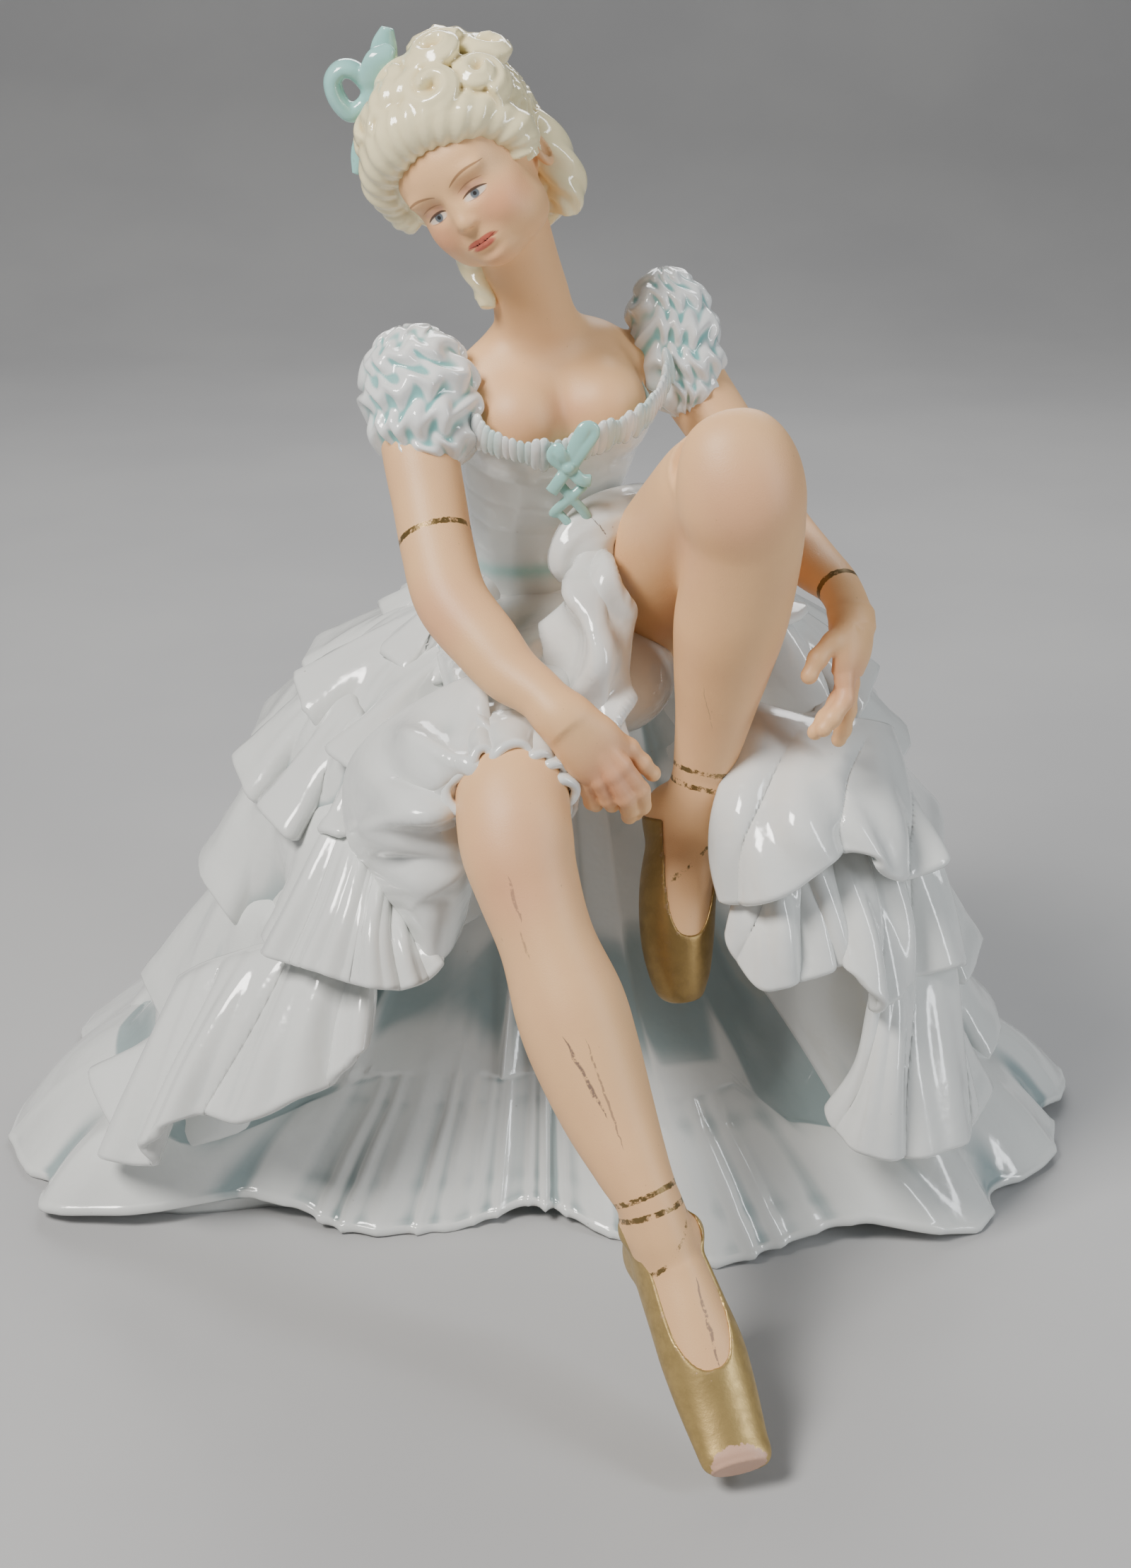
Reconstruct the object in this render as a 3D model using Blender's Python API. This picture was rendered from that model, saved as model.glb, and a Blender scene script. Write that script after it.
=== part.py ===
"""Seated ballerina figurine: a dancer ties her slipper on a flounced skirt, all one porcelain casting."""

import math

import bmesh
import bpy
import numpy as np
from mathutils import Matrix, Vector

# Driving sizes, in metres
HEIGHT = 0.285  # from the table to the top of the hair bow
SHEET = 0.0028  # wall of a flounce, as thick as cast porcelain
STANDING_INSET = 0.014  # how far the flat underside stays behind the hem
HEM_LIFT = 0.006  # highest arch of the hem over the table
GRAIN = 0.0012  # size of the clay grain that all forms are pressed together in
FACETS = 9600  # triangles of the finished solid

# The pose is modelled in millimetres of a 285 mm figure and follows HEIGHT
POSE_HEIGHT = 285.0
POSE = HEIGHT / POSE_HEIGHT
SHEET_MM = SHEET / POSE
INSET_MM = STANDING_INSET / POSE
LIFT_MM = HEM_LIFT / POSE

# The skirt: angles run from the front towards her left hand, radii from the skirt's own axis
SKIRT_AXIS = (0.0, 10.0)
SKIRT_TOP = 156.0
WAIST_RADIUS = 16.0
STEP_IN = 7.0  # how far a flounce's underside goes in
STEP_UP = 3.5  # and up
COLUMNS = 256  # measuring angles round the skirt

HEM_PLAN = [
    (28, 91), (40, 98), (52, 108), (60, 123), (74, 129), (90, 139), (105, 139), (116, 142), (130, 120),
    (150, 90), (180, 74), (210, 90), (232, 124), (248, 139), (264, 138), (281, 139), (294, 135), (300, 120),
    (305, 100), (312, 88), (326, 79), (346, 61), (362, 58), (376, 69), (388, 91),
]
HEM_ARCH = [(28, 0), (50, 1), (60, 0), (90, 0.4), (120, 0), (180, 0.6), (240, 0), (285, 0), (307, 1),
            (320, 0.1),
            (340, 0), (356, 0.7), (376, 0), (388, 0)]

# Every flounce: opening in front, folds all round, depth of the folds, and its hem as (angle, radius, height)
FLOUNCES = [
    (40, 318, 15, 1.6, [(45, 58, 150), (63, 66, 151), (90, 56, 149), (130, 45, 146), (180, 38, 141),
                        (230, 40, 139), (284, 40, 140), (313, 44, 134), (320, 46, 134)]),
    (36, 322, 17, 2.6, [(32, 83, 96), (38, 91, 101), (45, 92, 106), (69, 82, 129), (80, 79, 133),
                        (180, 55, 126),
                        (284, 61, 127), (303, 64, 120), (319, 69, 121), (324, 62, 121)]),
    (36, 327, 19, 3.2, [(32, 84, 92), (45, 93, 101), (61, 93, 109), (76, 89, 114), (180, 65, 104),
                        (281, 77, 105),
                        (302, 76, 101), (326, 75, 105)]),
    (36, 343, 21, 3.6, [(32, 84, 88), (45, 94, 95), (60, 97, 93), (76, 102, 85), (180, 72, 79), (282, 86, 77),
                        (295, 84, 70), (318, 81, 73), (332, 79, 74), (342, 78, 81)]),
    (37, 341, 21, 4.0, [(34, 87, 74), (45, 97, 76), (54, 101, 64), (70, 106, 60), (78, 110, 54),
                        (180, 78, 47),
                        (276, 101, 42), (295, 98, 36), (306, 89, 31), (320, 75, 47), (340, 64, 69)]),
    (46, 318, 20, 4.2, [(43, 95, 42), (49, 107, 28), (67, 114, 19), (90, 118, 24), (180, 80, 22),
                        (270, 118, 22),
                        (287, 117, 22), (300, 115, 19), (306, 98, 28), (316, 79, 37)]),
]
PETTICOAT = [(0, 0.0), (25, 0.10), (60, 0.22), (100, 0.42), (128, 0.68), (145, 0.88), (156, 1.0)]
PLEATS = 84
PLEAT_DEPTH = 0.7


def at(x, y, z):
    """A point of the pose, given in pose millimetres."""
    return Vector((x, y, z)) * POSE


def smooth_rows(rows, count):
    """Rows of numbers read evenly along a smooth curve through the given rows."""
    keys = np.array(rows, float)
    last = len(keys) - 1
    out = []
    for s in np.linspace(0, last, count):
        i = min(int(s), last - 1)
        t = s - i
        b, c = keys[i], keys[i + 1]
        a = keys[i - 1] if i else 2 * b - c
        d = keys[i + 2] if i + 2 <= last else 2 * c - b
        bend = (2 * a - 5 * b + 4 * c - d) * t**2 + (3 * b - a - 3 * c + d) * t**3
        out.append(0.5 * (2 * b + (c - a) * t + bend))
    return np.array(out)


def ease(x, low, high):
    """0 below low, 1 above high, and a smooth rise between."""
    t = np.clip((x - low) / (high - low), 0.0, 1.0)
    return t * t * (3 - 2 * t)


def shape_from_rings(points):
    """Closed mesh through rings of points in pose millimetres, with both ends capped."""
    rings, around = points.shape[:2]
    bm = bmesh.new()
    verts = [[bm.verts.new(Vector(p) * POSE) for p in ring] for ring in points]
    for i in range(rings - 1):
        for j in range(around):
            k = (j + 1) % around
            bm.faces.new((verts[i][j], verts[i][k], verts[i + 1][k], verts[i + 1][j]))
    bm.faces.new(list(reversed(verts[0])))
    bm.faces.new(verts[-1])
    bmesh.ops.recalc_face_normals(bm, faces=bm.faces)
    return bm


def limb(stations, side, rings=36, around=20, ripple=None):
    """Rounded tube through stations of (x, y, z, half width along side, half depth)."""
    rows = smooth_rows(stations, rings)
    tangents = np.gradient(rows[:, :3], axis=0)
    grid = []
    for i, (row, tangent) in enumerate(zip(rows, tangents)):
        t = Vector(tangent).normalized()
        reach = Vector(side) if rows.shape[1] == 5 else Vector((math.cos(row[5]), math.sin(row[5]), 0.0))
        u = (reach - t * t.dot(reach)).normalized()
        v = t.cross(u)
        ring = []
        for k in range(around):
            a = 2 * math.pi * k / around
            swell = ripple(i / (rings - 1), a) if ripple else 1.0
            ring.append(Vector(row[:3]) + (u * math.cos(a) * row[3] + v * math.sin(a) * row[4]) * swell)
        grid.append(ring)
    return shape_from_rings(np.array(grid))


def finger(points, thick):
    """Finger through its joints, tapering to the tip."""
    count = len(points)
    taper = [1.0 - 0.32 * i / (count - 1) for i in range(count)]
    rows = [(*p, thick * s, thick * s) for p, s in zip(points, taper)]
    tip = np.array(points[-1]) + 0.35 * thick * unit(np.array(points[-1]) - np.array(points[-2]))
    rows.append((*tip, thick * 0.42, thick * 0.42))
    return limb(rows, (0.3, 1.0, 0.2), rings=14, around=10)


def unit(v):
    return np.array(v, float) / np.linalg.norm(v)


def ball(centre, radii, axes=None, rings=14, carve=None):
    """Ellipsoid on its own axes; carve scales the radius by direction."""
    bm = bmesh.new()
    bmesh.ops.create_uvsphere(bm, u_segments=rings * 2, v_segments=rings, radius=1.0)
    turn = Matrix.Identity(3) if axes is None else Matrix(axes).transposed()
    for v in bm.verts:
        swell = carve(v.co) if carve else 1.0
        own = Vector([c * r * swell for c, r in zip(v.co, radii)])
        v.co = (Vector(centre) + turn @ own) * POSE
    return bm


def cloth(control, thick, steps=(28, 20), wave=None):
    """Sheet of clay through a net of points, as thick as thick and closed round its edge."""
    net = np.array(control, float)
    rows, columns = net.shape[:2]
    net = smooth_rows(net.reshape(rows, -1), steps[0]).reshape(steps[0], columns, 3)
    net = smooth_rows(net.transpose(1, 0, 2).reshape(columns, -1), steps[1]).reshape(steps[1], steps[0], 3)
    net = net.transpose(1, 0, 2)
    along = np.gradient(net, axis=0)
    across = np.gradient(net, axis=1)
    normal = np.cross(along, across)
    normal /= np.linalg.norm(normal, axis=2, keepdims=True)
    if wave:
        u = np.linspace(0, 1, steps[0])[:, None]
        v = np.linspace(0, 1, steps[1])[None, :]
        net = net + normal * wave(u, v)[:, :, None]
    loop = np.concatenate([net + normal * thick / 2, (net - normal * thick / 2)[:, ::-1]], axis=1)
    return shape_from_rings(loop)


# The skirt
def petticoat_radius(angle, height):
    """Radius of the underskirt, which falls hollow from the lap to its hem."""
    places, shares = zip(*PETTICOAT)
    hem = np.interp(angle, *zip(*HEM_PLAN))
    return WAIST_RADIUS + (hem - WAIST_RADIUS) * np.interp(SKIRT_TOP - height, places, shares)


def fold_wave(angle, folds, seed):
    """Uneven wave round the skirt: its phase wanders, and its crests are sharper than its valleys."""
    a = np.radians(angle)
    phase = folds * a + 1.1 * np.sin(3 * a + seed) + 0.7 * np.sin(7 * a + 2.3 * seed)
    crest = np.sin(phase) + 0.30 * np.sin(2 * phase + 0.9)
    zigzag = np.arcsin(np.sin(phase + 0.9)) * 2 / math.pi
    return phase, crest, zigzag


def skirt():
    """The whole skirt as one lathe-like form whose profile changes with the angle."""
    angle = np.linspace(28, 388, COLUMNS, endpoint=False)
    theta = [angle]
    radius = [np.full(COLUMNS, WAIST_RADIUS)]
    height = [np.full(COLUMNS, SKIRT_TOP)]
    inner_radius, inner_height = radius[0], height[0]
    for number, (right, left, folds, depth, hem) in enumerate(FLOUNCES):
        places, radii, heights = zip(*hem)
        hem_z = np.minimum(np.interp(angle, places, heights), inner_height - STEP_UP - 3.0)
        here = ease(angle, right - 3, right + 3) * (1 - ease(angle, left - 3, left + 3))
        under = petticoat_radius(angle, hem_z)
        hem_r = under + (np.interp(angle, places, radii) - under) * here
        phase, crest, zigzag = fold_wave(angle, folds, number * 1.7)
        for t in (0.2, 0.4, 0.6, 0.8, 0.93, 1.0):
            grow = t**1.3 * here
            theta.append(angle - grow * np.degrees(0.38 * np.sin(2 * phase) / folds))
            cone = inner_radius + (hem_r - inner_radius) * t**0.9
            radius.append(cone + grow * depth * (crest - 0.5))
            height.append(inner_height + (hem_z - inner_height) * t**1.15 + grow * 0.75 * depth * zigzag)
        lip = (theta[-1], radius[-1], height[-1])
        theta.append(lip[0])
        radius.append(lip[1] - SHEET_MM * here)
        height.append(lip[2] - 0.6)
        theta.append(angle)
        radius.append(hem_r - STEP_IN * here)
        height.append(hem_z + (STEP_UP + 0.6) * here - 0.6)
        inner_radius, inner_height = radius[-1], height[-1]
    hem_r = np.interp(angle, *zip(*HEM_PLAN))
    arch = np.interp(angle, *zip(*HEM_ARCH)) * LIFT_MM
    phase, crest, zigzag = fold_wave(angle, 15, 9.0)
    train = ease(angle, 44, 56) - ease(angle, 300, 312)
    for t in (0.15, 0.3, 0.45, 0.6, 0.75, 0.88, 1.0):
        falling = inner_height + (SHEET_MM + arch - inner_height) * t
        hanging = petticoat_radius(angle, falling)
        spreading = inner_radius + (hem_r - inner_radius) * t**0.8
        pleats = PLEAT_DEPTH * np.sin(np.radians(angle) * PLEATS) * ease(SKIRT_TOP - falling, 110, 130)
        theta.append(angle)
        radius.append(train * (spreading + 2.5 * t * crest) + (1 - train) * (hanging + pleats))
        height.append(falling + train * 1.6 * math.sin(math.pi * t) * (1 + zigzag))
    theta.append(angle)
    radius.append(radius[-1] - 0.5)
    height.append(arch)
    for inset, depth in ((INSET_MM, 0.0), (INSET_MM + 1.0, -3.0)):
        theta.append(angle)
        radius.append(hem_r - inset)
        height.append(np.full(COLUMNS, depth))
    turn = np.radians(np.array(theta))
    x = SKIRT_AXIS[0] + np.array(radius) * np.sin(turn)
    y = SKIRT_AXIS[1] - np.array(radius) * np.cos(turn)
    return shape_from_rings(np.stack([x, y, np.array(height)], axis=2))


def thigh_cover():
    """Cloth drawn over the near thigh, gathered into a frill at the knee."""
    def frill(t, a):
        end = ease(t, 0.72, 1.0)
        folds = 0.03 * math.sin(5 * a + 9 * t) * ease(t, 0.1, 0.5)
        return 1.0 + folds + end * (0.03 + 0.08 * math.sin(13 * a + 0.8 * math.sin(3 * a)))
    stations = [(2, 8, 134, 24, 20), (-3, -14, 134, 22, 18), (-6, -38, 133, 19, 17),
                (-7, -60, 129, 16.5, 15.5),
                (-7.5, -76, 127, 14.6, 14.2)]
    return limb(stations, (1, 0, 0.1), rings=44, around=52, ripple=frill)


def wing():
    """Front end of the overskirt beside the near knee, curling outwards like a shell."""
    net = [
        [(-15, -20, 146), (-13, -36, 150), (-8, -52, 148), (0, -58, 146)],
        [(-31, -33, 137), (-25, -50, 140), (-18, -64, 139), (-12, -72, 138)],
        [(-44, -43, 126), (-36, -60, 129), (-27, -71, 129), (-20, -77, 128)],
        [(-46, -49, 114), (-37, -66, 116), (-27, -75, 115), (-20, -76, 113)],
        [(-41, -55, 104), (-33, -69, 104), (-26, -76, 102), (-21, -75, 100)],
        [(-35, -60, 95), (-28, -70, 93), (-23, -74, 91), (-20, -71, 89)],
        [(-28, -61, 89), (-25, -66, 85), (-22, -68, 82), (-20, -66, 80)],
    ]
    return cloth(net, SHEET_MM * 1.3)


def side_drape_lip():
    """Rolled front edge of the far side's drape, with its first hanging lobe."""
    net = [
        [(47, -46, 118), (52, -52, 120), (60, -52, 122)],
        [(44, -54, 108), (50, -61, 108), (59, -60, 110)],
        [(43, -60, 98), (48, -67, 97), (56, -65, 99)],
        [(42, -61, 88), (46, -67, 85), (50, -68, 86)],
        [(44, -60, 79), (48, -64, 75), (53, -66, 76)],
        [(49, -58, 74), (53, -62, 71), (58, -63, 74)],
    ]
    return cloth(net, SHEET_MM * 1.4)


def lower_lobe():
    """Broad lobe that hangs like a cup under the far side's drape."""
    net = [
        [(63, -50, 80), (70, -60, 82), (78, -58, 84), (87, -47, 79)],
        [(61, -52, 67), (67, -64, 67), (77, -65, 67), (90, -51, 63)],
        [(63, -53, 54), (69, -65, 51), (80, -67, 49), (96, -51, 45)],
        [(69, -53, 42), (75, -64, 38), (86, -65, 34), (100, -49, 30)],
        [(76, -53, 35), (83, -60, 31), (92, -60, 28), (103, -47, 26)],
    ]
    return cloth(net, SHEET_MM * 1.4)


def rolled_bunch():
    """Skirt rolled up between the thighs: a padded roll and the frill that falls from it."""
    roll = limb([(27, -4, 173, 7, 6), (20, -18, 178, 8.5, 7.5), (11, -27, 178, 8.5, 8),
                 (4, -32, 173, 7.5, 7.5), (2, -33, 168, 5, 5)], (0.3, -0.9, 0.3), rings=24, around=24)
    net = [
        [(0, -30, 170), (5, -38, 172), (11, -40, 170), (17, -38, 164)],
        [(-1, -34, 158), (6, -44, 160), (13, -47, 157), (21, -42, 152)],
        [(0, -38, 146), (7, -50, 148), (15, -54, 146), (23, -46, 143)],
        [(3, -42, 135), (10, -55, 137), (18, -58, 136), (24, -48, 134)],
        [(8, -46, 126), (14, -55, 128), (20, -56, 129), (24, -48, 128)],
    ]
    frill = cloth(net, SHEET_MM * 2.2, wave=lambda u, v: 2.2 * np.sin(9 * v + 5 * u) * ease(u, 0.0, 0.4))
    lap = ball((12, -26, 142), (20, 26, 14))
    return [roll, frill, lap]


# The dancer
def torso():
    trunk = limb([
        (2, 14, 118, 29, 23, 0.0), (1, 12, 138, 22, 17, 0.1), (0, 6, 155, 16, 12.5, 0.2),
        (-0.5, 1, 170, 17, 13.5, 0.3),
        (0, -4, 183, 19, 15, 0.38), (1, -7, 193, 21, 15, 0.42), (0, -7.5, 203, 23.5, 13.5, 0.42),
        (-1, -7.5, 210, 24, 11, 0.42), (-2, -9, 215.5, 18, 9.5, 0.42), (-2.5, -11, 220, 12, 9, 0.38),
        (-3.8, -13.5, 226, 9.6, 8.8, 0.3), (-6, -17, 234, 9.2, 8.8, 0.2), (-9, -21.5, 244, 9.2, 9.2, 0.0),
    ], (1, 0, 0), rings=56, around=32)
    across = unit((0.90, 0.41, 0.13))
    onward = unit(np.cross((0, 0, 1), across))
    frame = (across, onward, unit(np.cross(across, onward)))
    yoke = [ball((0, -6, 203.5), (33, 12.5, 12), frame), ball((-2, -8, 210), (19, 10.5, 10), frame),
            ball((-30, -20, 203), (8.5, 8.5, 8.5)), ball((29.5, 6.5, 208.5), (8.5, 8.5, 8.5))]
    bust = [ball((-6.5, -19.5, 197.5), (10.5, 11.5, 11)), ball((13.5, -12.5, 199.5), (10.5, 11.5, 11)),
            ball((3.5, -13.5, 201), (15, 10.5, 11))]
    seat = ball((3, 24, 128), (32, 25, 22))
    return [trunk, *yoke, *bust, seat]


def arms():
    near = limb([(-30, -21, 204, 9.5, 9.5), (-28, -29, 193, 9, 9), (-24.5, -41, 178, 8.5, 8.6),
                 (-22, -51, 165, 8, 8.2), (-18.5, -58, 157, 7.6, 7.8), (-10.5, -66.5, 149.5, 6.9, 7.2),
                 (-2, -73, 143.5, 5.4, 5.6), (3, -75.5, 141, 4.6, 5.2), (7, -75, 138, 4.6, 5.6)],
                (0.6, -0.5, 0.6), rings=44)
    far = limb([(29, 7, 211, 9.5, 9.5), (35, 3, 201, 8.8, 8.8), (43, -4, 190, 8.2, 8.2),
                (50.5, -12, 177.5, 7.4, 7.4),
                (56, -20, 171, 7.2, 7.2), (61, -33, 166.5, 6.4, 6.4), (65.5, -43, 163, 4.9, 5.1),
                (67, -48, 160, 4.4, 4.8), (68, -51, 157, 4.2, 5.4)], (0.2, 0.5, 0.8), rings=44)
    return [near, far]


def hands():
    near_palm = limb([(4, -75.5, 140.5, 5.2, 3.6), (8, -74.5, 137, 7.2, 3.5), (12, -73, 133, 7.4, 3.2),
                      (14, -72, 131, 6.4, 2.6)], (0.62, 0.3, 0.72), rings=16)
    near = [
        finger([(14, -71, 136), (20, -69, 132.5), (23, -64, 130), (25.5, -60, 128)], 2.6),
        finger([(14, -73, 133), (19.5, -71.5, 129), (22.5, -64, 124), (22, -57, 119.5)], 2.7),
        finger([(12, -74, 130.5), (15, -74, 127), (16.5, -69, 122.5)], 2.5),
        finger([(9.5, -73, 128.5), (10.5, -73, 126), (11, -69, 122.5)], 2.3),
        finger([(8, -69, 138), (14.5, -63, 133), (19, -57, 128.5)], 2.8),
    ]
    far_palm = limb([(67, -48, 160.5, 5.0, 3.6), (68.3, -51.5, 156, 6.6, 3.4), (69.5, -53, 151, 7, 3.2),
                     (69.8, -53, 148, 6.2, 2.7)], (0.35, 0.9, -0.2), rings=16)
    far = [
        finger([(67, -53, 157.5), (61.5, -59, 154), (57.5, -61, 149.5)], 2.7),
        finger([(67, -57, 151.5), (68.5, -60, 145.5), (64.5, -63, 141), (59.5, -64, 137)], 2.6),
        finger([(69, -54.5, 149.5), (70.3, -56, 142), (68, -58, 137), (66.2, -58, 132)], 2.6),
        finger([(70.8, -51, 148), (72.4, -51, 141), (71.4, -50.5, 135), (70, -50, 131)], 2.5),
        finger([(71.5, -48, 148), (73.6, -46, 142), (73.6, -44, 136)], 2.3),
    ]
    return [near_palm, *near, far_palm, *far]


def legs():
    near_thigh = limb([(0, 12, 126, 20, 18), (-4, -20, 129, 17, 16), (-6, -55, 129, 14, 14),
                       (-7, -74, 126, 12.5, 12.5)], (1, 0, 0), rings=24)
    near_shin = limb([(-6.5, -70, 130, 11, 9), (-7.3, -79, 127, 12.8, 11.5), (-6, -84.5, 119, 12.6, 11.5),
                      (-3, -88, 109.5, 11.3, 11), (0.3, -92, 100, 10.3, 11), (5.2, -97, 88, 12.4, 13),
                      (8.2, -101, 80, 12.2, 12.5), (13.6, -108.5, 67, 10.3, 10), (18.6, -115.5, 58, 8.3, 8),
                      (21.8, -119, 52.5, 6.9, 7.2), (24, -120, 45, 6.4, 7.4), (26, -121, 38, 3.6, 4.6)],
                     (1, 0.3, 0.2), rings=60, around=24)
    far_thigh = limb([(20, 14, 138, 20, 18), (27, -14, 156, 18.5, 17), (34, -38, 178, 16, 15.5),
                      (38, -56, 194, 14, 14), (40, -64, 200, 12, 12)], (0.9, 0.3, -0.3), rings=28, around=24)
    far_shin = limb([(39, -58, 207, 9, 9), (40.5, -65, 203, 13.6, 12), (42, -67, 194, 14.8, 12.5),
                     (43.5, -63.5, 183, 12, 11.5), (42, -57, 169.5, 12.9, 13.5), (41, -54, 160, 12.6, 13),
                     (39.8, -51, 149, 11.2, 11), (38.4, -48, 136, 9, 9), (36.4, -46, 122, 7, 7),
                     (35.2, -46, 114, 6, 6.8), (34, -46, 107, 3.6, 4.4)], (1, 0.2, 0), rings=60, around=24)
    return [near_thigh, near_shin, far_thigh, far_shin]


def feet():
    near = limb([(20.4, -117.5, 57, 4.4, 4.6), (22.8, -119, 50.5, 6.6, 7), (24.6, -119.5, 44, 7.3, 9.2),
                 (26.8, -121, 36, 7.8, 11.5), (30.4, -127.5, 29, 8.8, 10), (33.6, -133.5, 22.5, 9.6, 8.4),
                 (36.4, -140, 16, 9.2, 6.8), (39, -147, 10.5, 7.6, 5), (40.5, -151.5, 7.6, 5.8, 3.6),
                 (40.9, -152.6, 6.9, 4.4, 2.6)],
                (0.95, 0.35, 0.1), rings=44, around=24)
    near_heel = ball((22.4, -113.5, 35.5), (6, 6.5, 8.5))
    far = limb([(37.4, -46.5, 127, 4.6, 4.6), (36, -46, 120, 6.6, 6.9), (34.6, -45, 113, 7.2, 9),
                (32.4, -46.5, 104, 8.2, 10.5), (31, -51, 94, 9.2, 9.6), (30.8, -56, 84, 9, 7.8),
                (31.4, -59.5, 76, 7.6, 6), (32, -60.5, 71.6, 5.8, 4.6), (32.2, -60.7, 70.2, 4.2, 3.2)],
               (0.87, 0.48, 0.1), rings=44, around=24)
    far_heel = ball((28.5, -41, 108), (6, 6.5, 8))
    return [near, near_heel, far, far_heel]


# The head: side towards her left ear, forward along the gaze, up to the crown
HEAD = (-13.8, -25.0, 253.8)
SIDE = unit((0.843, -0.363, 0.398))
GAZE = unit((-0.302, -0.930, -0.208))
UP = unit(np.cross(GAZE, SIDE))
HEAD_AXES = (SIDE, GAZE, UP)


def on_head(side, forward, up):
    """Point of the head from its own sizes in pose millimetres."""
    return tuple(np.array(HEAD) + side * SIDE + forward * GAZE + up * UP)


def head():
    lumps = [
        ((0, -2, 6), (16, 19, 17)), ((0, 5.5, -4), (12.8, 12.6, 14.5)), ((0, 11.5, -13), (6, 5.6, 5)),
        ((-6.5, 10, -5), (5.6, 5.4, 6)), ((6.5, 10, -5), (5.6, 5.4, 6)), ((0, 11, 8), (11.5, 6.8, 7.5)),
        ((0, 15.2, -9.5), (4.2, 2.6, 3)), ((-5.8, 13.6, 1), (3, 3, 2.4)), ((5.8, 13.6, 1), (3, 3, 2.4)),
        ((15.5, -3, -3), (2, 3.2, 5)), ((-15.5, -3, -3), (2, 3.2, 5)),
    ]
    forms = [ball(on_head(*place), radii, HEAD_AXES) for place, radii in lumps]
    bridge = [(*on_head(0, f, u), w, w * 1.1) for f, u, w in
              ((15.4, 3.5, 1.5), (17.6, 0.0, 1.5), (19.4, -3.0, 2.0), (19.2, -4.9, 2.3), (16.6, -5.8, 1.8))]
    forms.append(limb(bridge, tuple(SIDE), rings=14, around=12))
    return forms


def curl(centre, radius, thick, facing, turns=1.6, start=0.0):
    """Lock of hair rolled up into a snail."""
    out = unit(facing)
    u = unit(np.cross(out, UP))
    v = np.cross(out, u)
    rows = []
    for i in range(12):
        t = i / 11
        a = start + t * turns * 2 * math.pi
        r = radius * (1 - 0.8 * t)
        place = np.array(centre) + (u * math.cos(a) + v * math.sin(a)) * r + out * thick * 1.1 * t
        rows.append((*place, thick * (1 - 0.35 * t), thick * (1 - 0.35 * t)))
    return limb(rows, tuple(out), rings=30, around=8)


def hair():
    """Swept-up hair: a combed cap, a thick roll round the brow, snails of curls on top and locks behind."""
    def combed(d):
        return 1.0 + 0.035 * math.sin(16 * math.atan2(d.y + 0.2, d.z) + 3 * d.x)
    forms = [ball(on_head(-1.5, -5.5, 10), (19.4, 20.5, 19.5), HEAD_AXES, rings=24, carve=combed)]
    brow = []
    for i in range(13):
        a = math.radians(-112 + 224 * i / 12)
        thick = 4.3 + 1.2 * math.cos(a)
        forward = 12.2 * math.cos(a * 0.62) ** 0.6 - 5.5 * abs(math.sin(a)) ** 3
        brow.append((*on_head(16.2 * math.sin(a) - 1.0, forward, 5.0 + 13.0 * math.cos(a)), thick, thick))

    def twist(t, a):
        return 1.0 + 0.12 * math.sin(2 * a + 46 * t)
    forms.append(limb(brow, tuple(GAZE), rings=72, around=14, ripple=twist))
    for side, forward, up, radius, start in (
            (-9, 9.5, 22, 4.6, 0.0), (0.5, 11, 24, 4.8, 2.0), (9.5, 8, 22.5, 5.2, 4.0),
            (-4.5, 2, 28, 4.6, 1.0),
            (5.5, 1, 28.5, 4.8, 3.0), (13.5, 1, 20, 4.4, 5.0), (-14.5, 1, 20, 4.2, 2.5),
            (0, -9, 28, 4.8, 0.5),
            (9.5, -8, 25, 4.8, 1.5), (-10.5, -8, 23, 4.6, 3.5), (15.5, -8, 12, 4.2, 0.8),
            (-18, -8, 10, 4.2, 1.8)):
        place = on_head(side, forward, up)
        facing = np.array(place) - np.array(on_head(0, -4.5, 6))
        forms.append(curl(place, radius, 2.3, facing, start=start))
    nape = [(13, -9, 4, 4.6), (13, -10, -6, 4.8), (10.5, -10.5, -14, 4.4), (7, -9.5, -18, 2.6)]
    locks = [(*on_head(*row[:3]), row[3], row[3]) for row in nape]
    forms.append(limb(locks, tuple(GAZE), rings=24, around=14, ripple=twist))
    forms.append(ball(on_head(0, -13.5, -6), (14.5, 9, 13), HEAD_AXES, carve=combed))
    forms.append(limb([(-20, -13, 238, 4, 4), (-16.5, -15, 231, 3.6, 3.4), (-13.5, -17.5, 225, 2.8, 2.6),
                       (-13, -19, 221, 1.6, 1.6)], (1, 0, 0), rings=18, around=12, ripple=twist))
    return forms


def hair_bow():
    """Ribbon bow on the right of the crown: two open loops, a knot and a tail."""
    def loop(tip, wide):
        root = np.array((-36.0, -20.5, 271.0))
        tip = np.array(tip)
        lift = np.array((0.0, -3.4, 0.0))
        path = [root, (root + tip) / 2 + lift, tip, (root + tip) / 2 - lift, root]
        return limb([(*p, wide * w, 1.1) for p, w in zip(path, (0.5, 0.9, 1.0, 0.9, 0.5))],
                    tuple(np.cross(unit(tip - root), (0, 1, 0))), rings=26, around=10)
    knot = ball((-36.5, -20.5, 271), (3.4, 3.2, 3.2))
    tail = limb([(-37, -20, 268, 2, 1.2), (-40.5, -20.5, 261, 2.8, 1.3), (-42.5, -20, 250, 2.4, 1.2)],
                (1, 0, 0.3),
                rings=14)
    link = limb([(-36, -20.5, 270.5, 2.6, 2.6), (-28, -21, 266, 3.4, 3.4)], (0, 1, 0), rings=8, around=12)
    return [loop((-35.5, -19.5, 283.6), 4.2), loop((-47, -22, 270), 4.8), knot, tail, link]


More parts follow.
